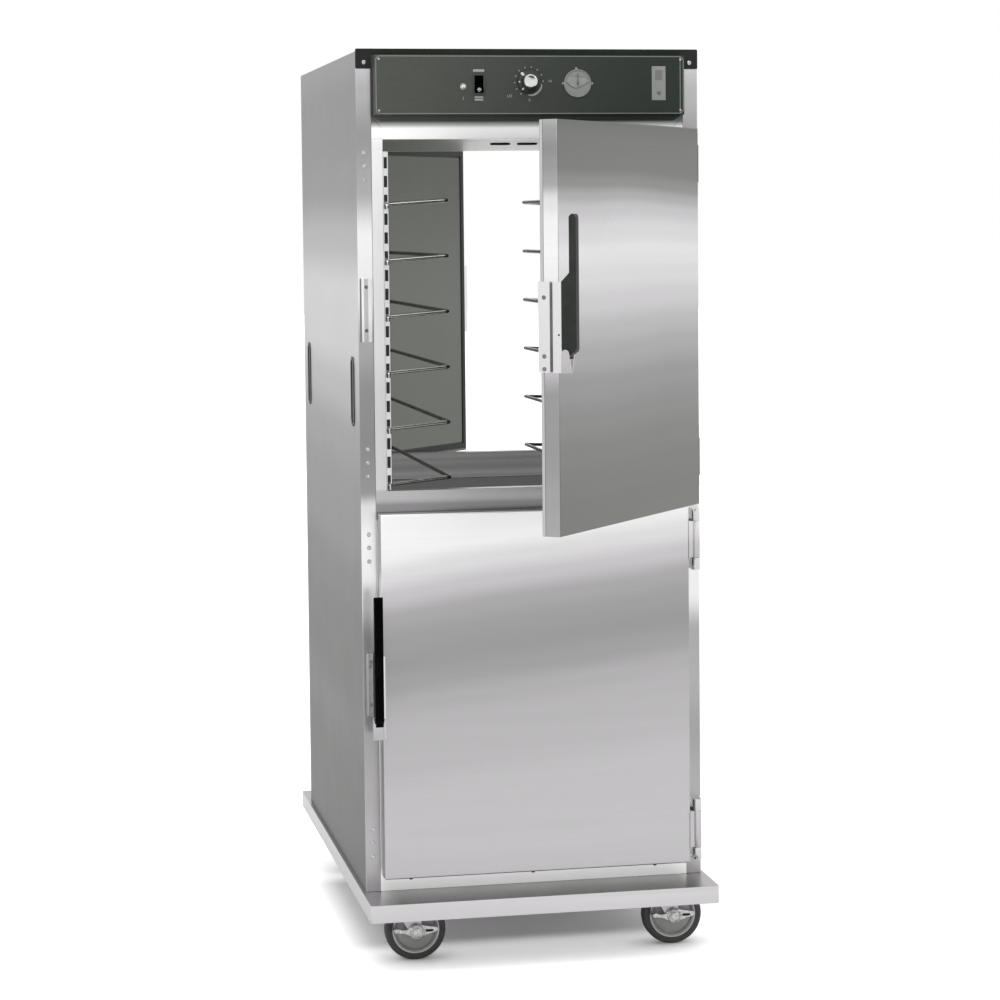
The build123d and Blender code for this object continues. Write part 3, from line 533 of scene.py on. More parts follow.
class Edit:
    """Edit mode on one piece, with faces and edges selected by a test of place or normal."""

    def __init__(self, piece: Mesh) -> None:
        """Selects only the piece and enters edit mode with nothing selected.

        Args:
            piece: the piece to work on.
        """
        Bench.take(piece)
        bpy.ops.object.mode_set(mode="EDIT")
        bpy.ops.mesh.select_mode(type="FACE")
        bpy.ops.mesh.select_all(action="DESELECT")
        self.piece = piece

    def pick(self, kind: str, test: Callable[[object], bool]) -> "Edit":
        """Selects the faces or the edges that pass a test, and only them.

        Args:
            kind: FACE or EDGE.
            test: says whether a face or an edge is selected.
        Returns:
            The same edit, for the next step.
        """
        bpy.ops.mesh.select_mode(type=kind)
        bpy.ops.mesh.select_all(action="DESELECT")
        mesh = bmesh.from_edit_mesh(self.piece.data)
        for part in mesh.faces if kind == "FACE" else mesh.edges:
            part.select_set(test(part))
        bmesh.update_edit_mesh(self.piece.data)
        return self

    def faces(self, test: Callable[[bmesh.types.BMFace], bool]) -> "Edit":
        """Selects the faces that pass a test."""
        return self.pick("FACE", test)

    def edges(self, test: Callable[[bmesh.types.BMEdge], bool]) -> "Edit":
        """Selects the edges that pass a test."""
        return self.pick("EDGE", test)

    def edges_along(self, axis: int) -> "Edit":
        """Selects the edges that run along the X, Y or Z axis, by its number."""
        return self.edges(lambda e: abs((e.verts[0].co - e.verts[1].co)[axis]) > 0.1 * MM)

    def facing(self, way: Facing, keep: Callable[[Vector], bool] = lambda _: True) -> "Edit":
        """Selects the faces that look one way and whose middle passes a test."""
        normal = Vector(way.value)
        return self.faces(lambda f: f.normal.dot(normal) > 0.98 and keep(f.calc_center_median()))

    def inset(self, margin: float, depth: float = 0.0) -> "Edit":
        """Insets the selection, raised by a depth or sunk by a negative one."""
        bpy.ops.mesh.inset(thickness=margin, depth=depth)
        return self

    def push(self, x: float, y: float, z: float) -> "Edit":
        """Extrudes the selection along a vector."""
        bpy.ops.mesh.extrude_region_move(TRANSFORM_OT_translate={"value": (x, y, z)})
        return self

    def bevel(self, width: float, segments: int = 2) -> "Edit":
        """Bevels the selected edges."""
        bpy.ops.mesh.bevel(offset=width, segments=segments, affect="EDGES")
        return self

    def bridge_rims(self) -> "Edit":
        """Joins two open rims by faces.

        Returns:
            The same edit, for the next step.
        """
        self.edges(lambda e: e.is_boundary)
        bpy.ops.mesh.bridge_edge_loops()
        return self

    def done(self) -> Mesh:
        """Leaves edit mode.

        Returns:
            The piece, with its faces pointing outwards.
        """
        bpy.ops.mesh.select_all(action="SELECT")
        bpy.ops.mesh.normals_make_consistent(inside=False)
        bpy.ops.object.mode_set(mode="OBJECT")
        return self.piece


class Bench:
    """Primitives, lathe work, wire work, copies and joints, with Blender's own operators."""

    @staticmethod
    def take(*pieces: Mesh) -> None:
        """Selects only these pieces and makes the first the active one.

        Args:
            pieces: the pieces, the active one first.
        """
        bpy.ops.object.select_all(action="DESELECT")
        for piece in pieces:
            piece.select_set(True)
        bpy.context.view_layer.objects.active = pieces[0]

    @staticmethod
    def settle(piece: Mesh) -> Mesh:
        """Puts the piece's place, turn and scale into its mesh.

        Args:
            piece: the piece, which then sits at the origin, unturned.
        Returns:
            The same piece.
        """
        Bench.take(piece)
        bpy.ops.object.transform_apply(location=True, rotation=True, scale=True)
        return piece

    @staticmethod
    def block(name: str, low: Sequence[float], high: Sequence[float]) -> Mesh:
        """A cuboid between two corners, as a start for further work.

        Args:
            name: the piece's name.
            low: the corner with the least X, Y and Z.
            high: the opposite corner.
        Returns:
            The cuboid.
        """
        bpy.ops.object.select_all(action="DESELECT")
        low, high = Vector(low), Vector(high)
        bpy.ops.mesh.primitive_cube_add(size=1.0, location=(low + high) / 2, scale=high - low)
        bpy.context.object.name = name
        return Bench.settle(bpy.context.object)

    @staticmethod
    def plate(name: str, low: Sequence[float], high: Sequence[float], edge: float = 0.3 * MM,
              segments: int = 2) -> Mesh:
        """A cuboid whose edges are all rounded."""
        piece = Bench.block(name, low, high)
        return Bench.shaded(Edit(piece).edges(lambda e: True).bevel(edge, segments).done())

    @staticmethod
    def lathe(name: str, profile: Sequence[Span], centre: Sequence[float], facing: Facing,
              sides: int = 48, ring: bool = False, angle: float = 30.0) -> Mesh:
        """Turns a profile: a circle is extruded and resized from one point to the next.

        Args:
            name: the piece's name.
            profile: radii, and heights along the facing.
            centre: where height 0 of the axis lies.
            facing: the way that heights grow.
            sides: flats round the axis.
            ring: True joins the last circle to the first, False closes both with a face.
            angle: the angle in degrees up to which it is shaded smooth.
        Returns:
            The closed piece, in place.
        """
        bpy.ops.object.select_all(action="DESELECT")
        radius, height = profile[0]
        bpy.ops.mesh.primitive_circle_add(vertices=sides, radius=radius, location=(0, 0, height),
                                          fill_type="NOTHING" if ring else "NGON")
        piece = bpy.context.object
        piece.name = name
        edit = Edit(Bench.settle(piece))
        bpy.ops.mesh.select_mode(type="EDGE")
        bpy.ops.mesh.select_all(action="SELECT")
        extrude = bpy.ops.mesh.extrude_edges_move if ring else bpy.ops.mesh.extrude_region_move
        for next_radius, next_height in profile[1:]:
            extrude(TRANSFORM_OT_translate={"value": (0, 0, next_height - height)})
            share = next_radius / radius
            bpy.ops.transform.resize(value=(share, share, 1), center_override=(0, 0, next_height))
            radius, height = next_radius, next_height
        if ring:
            edit.bridge_rims()
        bpy.ops.mesh.select_all(action="SELECT")
        bpy.ops.mesh.remove_doubles(threshold=WELD)
        edit.done()
        piece.matrix_world = Matrix.Translation(Vector(centre)) @ facing.matrix
        return Bench.shaded(Bench.settle(piece), angle)

    @staticmethod
    def shaded(piece: Mesh, angle: float = 30.0) -> Mesh:
        """Shades a piece smooth up to an angle.

        Args:
            piece: the piece.
            angle: the angle in degrees between faces that still look like one.
        Returns:
            The same piece.
        """
        Bench.take(piece)
        bpy.ops.object.shade_smooth_by_angle(angle=radians(angle))
        return piece

    @staticmethod
    def wire(name: str, path: Iterable[Sequence[float]], radius: float) -> Mesh:
        """A round wire along a path.

        Args:
            name: the piece's name.
            path: the points of the wire's middle line.
            radius: the wire's radius.
        Returns:
            The wire as a mesh with closed ends.
        """
        bpy.ops.object.select_all(action="DESELECT")
        points = [Vector(p) for p in path]
        curve = bpy.data.curves.new(name, "CURVE")
        curve.dimensions = "3D"
        curve.bevel_depth = radius
        curve.bevel_resolution = 2
        curve.use_fill_caps = True
        spline = curve.splines.new("POLY")
        spline.points.add(len(points) - 1)
        for knot, point in zip(spline.points, points):
            knot.co = (*point, 1.0)
        piece = bpy.data.objects.new(name, curve)
        bpy.context.collection.objects.link(piece)
        Bench.take(piece)
        bpy.ops.object.convert(target="MESH")
        return Bench.shaded(bpy.context.object, 50.0)

    @staticmethod
    def letters(name: str, words: str, size: float, centre: Sequence[float]) -> Mesh:
        """Raised lettering, centred on a point of the fascia.

        Args:
            name: the piece's name.
            words: what is written.
            size: the height of a line of type.
            centre: where the words' middle lies.
        Returns:
            The lettering as a mesh that faces the front.
        """
        bpy.ops.object.select_all(action="DESELECT")
        bpy.ops.object.text_add()
        piece = bpy.context.object
        piece.name = name
        piece.data.body = words
        piece.data.size = size
        piece.data.extrude = 0.05 * MM
        piece.data.align_x = "CENTER"
        piece.data.align_y = "CENTER"
        bpy.ops.object.convert(target="MESH")
        piece.matrix_world = Matrix.Translation(Vector(centre)) @ Matrix.Rotation(pi / 2, 4, "X")
        return Bench.settle(piece)

    @staticmethod
    def slab(name: str, outline: Sequence[Vector], along: Point) -> Mesh:
        """A flat outline extruded along a vector.

        Args:
            name: the piece's name.
            outline: the corners of the flat side, in order.
            along: from the flat side to the other.
        Returns:
            The closed slab.
        """
        bpy.ops.object.select_all(action="DESELECT")
        bpy.ops.mesh.primitive_circle_add(vertices=len(outline), fill_type="NGON")
        piece = bpy.context.object
        piece.name = name
        for vertex, point in zip(piece.data.vertices, outline):
            vertex.co = point
        edit = Edit(piece)
        bpy.ops.mesh.select_all(action="SELECT")
        return edit.push(*along).done()

    @staticmethod
    def copies(name: str, pattern: Mesh, places: Iterable[Matrix]) -> Mesh:
        """Copies a pattern piece to places, joins the copies and drops the pattern.

        Args:
            name: the new piece's name.
            pattern: the piece that is repeated, and removed at the end.
            places: a matrix for each copy.
        Returns:
            All copies as one piece.
        """
        made = []
        for place in places:
            copy = pattern.copy()
            copy.data = pattern.data.copy()
            copy.data.transform(place)
            bpy.context.collection.objects.link(copy)
            made.append(copy)
        bpy.data.objects.remove(pattern)
        return Bench.joined(name, made)

    @staticmethod
    def joined(name: str, pieces: Sequence[Mesh]) -> Mesh:
        """Joins pieces into one.

        Args:
            name: the new piece's name.
            pieces: what is joined.
        Returns:
            The one piece.
        """
        Bench.take(*pieces)
        if len(pieces) > 1:
            bpy.ops.object.join()
        piece = bpy.context.object
        piece.name = name
        return piece

    @staticmethod
    def moved(piece: Mesh, place: Matrix) -> Mesh:
        """Moves a piece's mesh by a matrix."""
        piece.data.transform(place)
        return piece

    @staticmethod
    def soften(piece: Mesh, width: float, segments: int = 2) -> None:
        """Rounds the edges of a construction node: merged points, a bevel and even normals.

        Args:
            piece: the node or new piece, whose own mesh stays as it is.
            width: the bevel's width in metres.
            segments: the steps across the bevel.
        """
        weld = piece.modifiers.new("weld", "WELD")
        weld.merge_threshold = WELD
        bevel = piece.modifiers.new("rounded_edges", "BEVEL")
        bevel.width = width
        bevel.segments = segments
        bevel.limit_method = "ANGLE"
        bevel.angle_limit = radians(35.0)
        bevel.use_clamp_overlap = True
        bevel.harden_normals = True


def at(x: float, y: float, z: float) -> Matrix:
    """A shift."""
    return Matrix.Translation((x, y, z))


HALF_TURN = Matrix.Rotation(pi, 4, "Z")


def both_ends(places: Sequence[Matrix]) -> list[Matrix]:
    """Places at the front, then the same at the rear."""
    return [*places, *(HALF_TURN @ place for place in places)]


# ------------------------------------------------------------------ finishes of this cabinet
# The brushed steel's tone tables are painted reflection and shade bands. FRAME_PAINTED_GLOW,
# FRAME_INSIDE_PAINTED_GLOW, INNER_PAN_PAINTED_GLOW and STRIKE_PAINTED_GLOW are painted light,
# given out as emission.
SIDE_TONES = ((0, 0.26), (0.12, 0.25), (0.18, 0.29), (0.24, 0.25), (0.3, 0.26), (0.36, 0.31),
              (0.42, 0.4), (0.48, 0.42), (0.54, 0.5), (0.6, 0.73), (0.66, 0.95), (0.72, 0.97),
              (0.78, 0.69), (0.84, 0.42), (0.9, 0.37), (0.95, 0.37), (1, 0.45))
POST_TONES = ((0, 0.5), (0.06, 0.51), (0.12, 0.46), (0.18, 0.4), (0.24, 0.46), (0.3, 0.44),
              (0.345, 0.9), (0.42, 0.96), (0.46, 0.8), (0.48, 0.33), (0.54, 0.29), (0.6, 0.31),
              (0.66, 0.43), (0.72, 0.9), (0.78, 0.97), (0.84, 0.45), (0.9, 0.35), (0.95, 0.48),
              (1, 0.7))
LOWER_DOOR_TONES = ((0, 0.59), (0.1, 0.58), (0.2, 0.57), (0.3, 0.52), (0.4, 0.5), (0.46, 0.46),
                    (0.52, 0.38), (0.58, 0.35), (0.64, 0.37), (0.7, 0.42), (0.76, 0.59),
                    (0.82, 0.76), (0.88, 0.94), (0.94, 0.96), (1, 0.97))
UPPER_DOOR_TONES = ((0, 0.19), (0.06, 0.19), (0.12, 0.2), (0.2, 0.22), (0.28, 0.26), (0.36, 0.31),
                    (0.44, 0.4), (0.5, 0.49), (0.56, 0.61), (0.62, 0.71), (0.68, 0.77),
                    (0.73, 0.68), (0.78, 0.56), (0.81, 0.41), (0.84, 0.26), (0.88, 0.19),
                    (0.94, 0.18), (1, 0.15))
DOOR_RIM_TONES = ((0, 0.42), (0.1, 0.39), (0.2, 0.35), (0.34, 0.35), (0.46, 0.8), (0.7, 0.94),
                  (0.75, 0.92), (0.8, 0.78), (0.84, 0.41), (0.88, 0.35), (0.92, 0.31),
                  (0.96, 0.37), (1, 0.51))
INNER_PAN_TONES = ((0, 0.16), (0.5, 0.17), (1, 0.12))
INNER_RIM_TONES = ((0, 0.55), (1, 0.57))
INNER_PAN_PAINTED_GLOW = ((0, 0.085), (1, 0.085))
LATCH_TONES = ((0, 0.76), (1, 0.8))
LATCH_STRIP_TONES = ((0, 0.5), (0.15, 0.56), (1, 0.5))
UPRIGHT_TONES = ((0, 0.75), (1, 0.8))
TOP_TONES = ((0, 0.5), (1, 0.55))
BASE_PAN_TONES = ((0, 0.66), (0.9, 0.7), (1, 0.68))
FRAME_BANDS = ((158, 0.97), (200, 0.97), (215, 0.8), (923, 0.8), (924, 0.3), (950, 0.3),
               (956, 0.3), (961, 0.45), (968, 0.52), (982, 0.52), (984, 0.68), (1130, 0.68),
               (1310, 0.78), (1500, 0.84), (1675, 0.93), (1700, 0.98), (1718, 0.98),
               (1724, 0.5), (1733, 0.1))
FRAME_PAINTED_GLOW = ((158, 0.22), (195, 0.18), (205, 0.0), (1690, 0.0), (1700, 0.1), (1718, 0.1),
              (1722, 0.0))
FRAME_INSIDE_PAINTED_GLOW = ((158, 0.08), (922, 0.1), (935, 0.16), (940, 0.13), (946, 0.1), (960, 0.12),
                (968, 0.08), (975, 0.12), (981, 0.1), (984, 0.05))
LINER_BANDS = ((211, 0.6), (214, 0.2), (922, 0.24), (924, 0.45), (982, 0.7), (985, 0.2),
               (1692, 0.24), (1695, 0.5))
STRIKE_PAINTED_GLOW = ((523, 0.05), (652, 0.05), (700, 0.0), (1420, 0.0))
STRIKE_SIDE_TONES = ((0, 0.16), (1, 0.2))
STRIKE_BANDS = ((523, 0.27), (652, 0.33), (1287, 0.75), (1350, 0.93), (1420, 0.9))

CHROME = PolishedMetal("bright_chrome", colour=(0.78, 0.78, 0.79), dark=0.75, roughness=0.14)
ZINC = PolishedMetal("zinc_plate", colour=(0.55, 0.55, 0.55), dark=0.7, roughness=0.24)
# The wire's colours paint its reflections: dark towards the middle, bright past
# painted_reflection_from.
WIRE = PolishedMetal("drawn_wire", colour=(0.16, 0.165, 0.15), dark=0.75, roughness=0.25,
                     outer=(0.72, 0.73, 0.7), painted_reflection_from=165 * MM)
RING_SCREW = PolishedMetal("ring_screw", colour=(0.3, 0.3, 0.3), dark=0.6, roughness=0.3)
SCREW = PolishedMetal("screw_steel", colour=(0.62, 0.62, 0.62), dark=0.7, roughness=0.25)
GALVANISED = PolishedMetal("galvanised_sheet", colour=(0.5, 0.51, 0.52), dark=0.75,
                           roughness=0.42)
COPPER = PolishedMetal("sheathed_rod", colour=(0.3, 0.27, 0.24), dark=0.6, roughness=0.4)
# The left colours are lighter than the right ones: painted light across the fascia.
FASCIA = PaintedSheet("fascia_grey", left=(0.082, 0.088, 0.077), right=(0.021, 0.028, 0.023))
FASCIA_LINE = PaintedSheet("fascia_line", left=(0.25, 0.26, 0.25), right=(0.2, 0.22, 0.2))
PRINT = PaintedSheet("pale_print", left=(0.4, 0.41, 0.39), right=(0.36, 0.37, 0.35))
WHITE_PRINT = PaintedSheet("white_print", left=(0.8, 0.8, 0.78), right=(0.8, 0.8, 0.78))
DIAL = PaintedSheet("dial_grey", left=(0.3, 0.31, 0.3), right=(0.27, 0.28, 0.27), roughness=0.5)
DIAL_WINDOW = PaintedSheet("dial_window", left=(0.34, 0.34, 0.345), right=(0.32, 0.32, 0.325))
DIAL_INK = PaintedSheet("dial_ink", left=(0.15, 0.15, 0.15), right=(0.15, 0.15, 0.15))
BARE_PLATE = PaintedSheet("bare_plate", left=(0.3, 0.31, 0.3), right=(0.27, 0.28, 0.27))
PLATE_SHADE = PaintedSheet("plate_shade", left=(0.2, 0.2, 0.2), right=(0.19, 0.19, 0.19))
BLACK = Moulded("black_plastic", colour=(0.006, 0.007, 0.006), worn=(0.01, 0.011, 0.01),
                gloss=0.1)
# The upper doors' levers are a lighter black than the lower ones: painted light.
LEVER = Moulded("lever_plastic", colour=(0.012, 0.014, 0.012), worn=(0.024, 0.027, 0.024),
                gloss=0.3)
LEVER_BLACK = Moulded("lever_black", colour=(0.0015, 0.002, 0.0015), worn=(0.004, 0.0045, 0.004),
                      gloss=0.01)
SLOT = Moulded("slot_shade", colour=(0.035, 0.038, 0.034), worn=(0.05, 0.053, 0.048))
ROCKER = Moulded("rocker_black", colour=(0.001, 0.0012, 0.001), worn=(0.003, 0.003, 0.003),
                 gloss=0.0)
BRAKE = PolishedMetal("brake_chrome", colour=(0.85, 0.85, 0.85), dark=0.3, roughness=0.12,
                      cloud_scale=150.0)
PLUG = PolishedMetal("plug_steel", colour=(0.85, 0.85, 0.85), dark=0.35, roughness=0.2,
                     cloud_scale=260.0)
TRIM = Moulded("trim_plastic", colour=(0.01, 0.012, 0.01), worn=(0.018, 0.02, 0.018))
SEAL = Moulded("latch_seal", colour=(0.1, 0.1, 0.1), worn=(0.16, 0.16, 0.16), gloss=0.3)
DARK = Moulded("deep_shadow_gap", colour=(0.006, 0.006, 0.006), worn=(0.01, 0.01, 0.01))
GASKET = Moulded("gasket_rubber", colour=(0.02, 0.022, 0.019), worn=(0.035, 0.037, 0.033),
                 roughness=0.6)
TYRE = Moulded("tyre_rubber", colour=(0.007, 0.0085, 0.0065), worn=(0.014, 0.016, 0.013),
               roughness=0.6, gloss=0.05)
WHEEL = Moulded("wheel_grey", colour=(0.29, 0.3, 0.285), worn=(0.37, 0.38, 0.36), roughness=0.4,
                gloss=0.4)
RING = PolishedMetal("wheel_ring", colour=(0.45, 0.46, 0.45), dark=0.8, roughness=0.3)
LAMP = PolishedMetal("lamp_bright", colour=(0.9, 0.9, 0.88), dark=0.9)
WOOL = MineralWool("mineral_wool")


def banded(name: str, node: str, bands: Stops, fill: Stops = (), painted_glow_inside: Stops = (),
           **more: object) -> BrushedSteel:
    """Brushed steel whose painted reflection bands are given by their heights in millimetres.

    Args:
        name: the material's name.
        node: the node whose height the bands are a share of.
        bands: heights in millimetres, each with its tone.
        fill: heights with the painted glow of the outside faces.
        painted_glow_inside: the same painted glow for what faces the chamber.
        more: further fields of the finish.
    Returns:
        The finish.
    """
    low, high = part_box(node)
    tall = high[2] - low[2]

    def share(stops: Stops) -> Stops:
        """The stops with their heights as shares of the node's height."""
        return tuple((min(1.0, max(0.0, (z * MM - low[2]) / tall)), level) for z, level in stops)

    return BrushedSteel(name, tones=share(bands), span=(low[2], high[2]), wander=0.0,
                        fill=share(fill), painted_glow_inside=share(painted_glow_inside), **more)


def sheet_finish(name: str, node: str, tones: Stops, **more: object) -> BrushedSteel:
    """Brushed steel whose painted reflection bands span one node's height."""
    low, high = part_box(node)
    return BrushedSteel(name, tones=tones, span=(low[2], high[2]), **more)


# ------------------------------------------------------------------ room
@dataclass
class Studio:
    """Pale floor, soft light and the camera."""

    eye: Point = (-1.1264, -5.8118, 1.5249)
    heading: float = 11.19
    tilt: float = -3.78
    roll: float = -0.56
    focal: float = 96.32
    rise: float = -0.1
    ambient: float = 0.72
    floor_size: float = 80.0
    # The painted shadow: the floor's emission fades in beside, before and beyond the footprint,
    # and away from the wheels' contact points.
    beside: Span = (0.31, 0.4)
    before: Span = (0.255, 0.345)
    beyond: Span = (0.46, 0.56)
    end_share: float = 0.66
    floor_glow: float = 0.55
    trail: float = 28.0 * MM
    wheel_at: Span = (275.0 * MM, 397.5 * MM)
    contact: Span = (-0.02, 0.075)
    contact_squash: float = 0.6
    key: tuple[Point, float, float] = ((-0.55, -0.75, 1.0), 0.95, 30.0)
    fill: tuple[Point, float, float] = ((0.9, -0.5, 0.8), 0.3, 50.0)

    def camera(self) -> None:
        """Adds the camera, aimed by heading, tilt and roll."""
        heading, tilt, roll = radians(self.heading), radians(self.tilt), radians(self.roll)
        ahead = Vector((sin(heading) * cos(tilt), cos(heading) * cos(tilt), sin(tilt)))
        right = Vector((cos(heading), -sin(heading), 0))
        up = right.cross(ahead)
        rolled_right = right * cos(roll) + up * sin(roll)
        rolled_up = up * cos(roll) - right * sin(roll)
        turn = Matrix((rolled_right, rolled_up, -ahead)).transposed().to_4x4()
        bpy.ops.object.camera_add()
        camera = bpy.context.object
        camera.matrix_world = Matrix.Translation(self.eye) @ turn
        camera.data.lens = self.focal
        camera.data.shift_y = self.rise
        camera.data.clip_end = 200.0
        bpy.context.scene.camera = camera

    def light(self) -> None:
        """World light and two soft lamps."""
        scene = bpy.context.scene
        scene.view_settings.view_transform = "Standard"
        scene.world = scene.world or bpy.data.worlds.new("soft_room")
        scene.world.use_nodes = True
        graph = Graph(scene.world.node_tree)
        path = graph.node("ShaderNodeLightPath", output="Is Camera Ray")
        outputs = path.socket.node.outputs
        seen = path
        for name in ("Is Glossy Ray", "Is Transmission Ray"):
            seen = seen.larger(Value(graph, outputs[name]))
        strength = seen * (1.0 - self.ambient) + self.ambient
        shown = graph.node("ShaderNodeBackground", inputs=((1.0, 1.0, 1.0, 1.0), strength))
        graph.close("ShaderNodeOutputWorld", shown)
        self.lamp("key", *self.key)
        self.lamp("fill", *self.fill)

    @staticmethod
    def lamp(name: str, towards: Point, strength: float, spread: float) -> None:
        """Adds a broad lamp that shines from a direction.

        Args:
            name: the lamp's name.
            towards: the direction from the cabinet to the lamp.
            strength: its power on a square metre.
            spread: its width in degrees, which softens the shadows.
        """
        bpy.ops.object.light_add(type="SUN")
        lamp = bpy.context.object
        lamp.name = name
        lamp.rotation_euler = Vector(towards).to_track_quat("Z", "Y").to_euler()
        lamp.data.energy = strength
        lamp.data.angle = radians(spread)

    def floor(self) -> None:
        """Adds the white floor, with the cabinet's shadow painted in by an emission that camera
        rays see.
        """
        bpy.ops.object.select_all(action="DESELECT")
        bpy.ops.mesh.primitive_plane_add(size=self.floor_size)
        floor = bpy.context.object
        floor.name = "floor"
        material = bpy.data.materials.new("pale_floor")
        material.use_nodes = True
        graph = Graph(material.node_tree)
        camera_ray = graph.node("ShaderNodeLightPath", output="Is Camera Ray")
        x, y, _ = graph.axes()
        side = x.size().eased(*self.beside)
        near, far = y.size().eased(*self.before), y.size().eased(*self.beyond)
        end = near * self.end_share + far * (1.0 - self.end_share)
        out_x = (x - self.trail).size() - self.wheel_at[0]
        out_y = y.size() - self.wheel_at[1]
        contact = ((out_x * self.contact_squash) ** 2.0 + out_y ** 2.0) ** 0.5
        glow = (side + end - side * end) * contact.eased(*self.contact) * self.floor_glow
        shader = graph.node("ShaderNodeBsdfPrincipled", inputs={
            "Base Color": (0.97, 0.97, 0.97), "Roughness": 0.9, "Specular IOR Level": 0.0,
            "Emission Color": (1.0, 1.0, 1.0), "Emission Strength": camera_ray * glow})
        graph.close("ShaderNodeOutputMaterial", shader)
        floor.data.materials.append(material)

    def build(self) -> None:
        """Sets up the whole room."""
        self.camera()
        self.light()
        self.floor()


# ------------------------------------------------------------------ what every assembly shares
@dataclass
class Assembly:
    """A sub-assembly: the construction's nodes by name, and the pieces added to a body."""

    nodes: dict[str, Mesh]
    made: list[str] = field(default_factory=list, init=False)

    def node(self, name: str) -> Mesh:
        """A node of the construction."""
        return self.nodes[name]

    def finish(self, name: str, finish: Finish, width: float = 0.0, segments: int = 2) -> None:
        """Dresses a node and rounds its edges by a width in millimetres.

        Args:
            name: the node's name.
            finish: what it is dressed in.
            width: the bevel's width in millimetres, or 0 for none.
            segments: the steps across the bevel.
        """
        finish.dress(self.node(name))
        if width:
            Bench.soften(self.node(name), width * MM, segments)

    def keep(self, piece: Mesh, finish: Finish, body: str,
             replaced: Sequence[str] = ()) -> Mesh:
        """Dresses a new piece, puts it on a body and hides the nodes that it stands for.

        Args:
            piece: the new piece.
            finish: what it is dressed in.
            body: the body that it moves with.
            replaced: the nodes that it stands for.
        Returns:
            The same piece.
        """
        finish.dress(piece)
        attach(piece, body)
        if replaced:
            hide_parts(*replaced)
        self.made.append(piece.name)
        return piece

    def report(self) -> None:
        """Logs the pieces that were added."""
        log.info("%s: %s", type(self).__name__, ", ".join(self.made) or "no new pieces")


SCREW_HEAD = ((1.0, 0.0), (1.0, 0.45), (0.86, 0.82), (0.62, 1.0), (0.42, 1.0), (0.36, 0.35),
              (0.02, 0.3))
PLUG_HEAD = ((1.0, 0.0), (1.0, 0.5), (0.9, 1.0), (0.72, 1.0), (0.6, 0.35), (0.3, 0.2),
             (0.02, 0.2))


def head(name: str, shape: Stops, radius: float, rise: float,
         facing: Facing = Facing.FRONT) -> Mesh:
    """A round head at the origin: a screw's with a recess, or a plug's with a dished middle."""
    profile = [(radius * across, rise * up) for across, up in shape]
    return Bench.lathe(name, profile, (0, 0, 0), facing, 20)


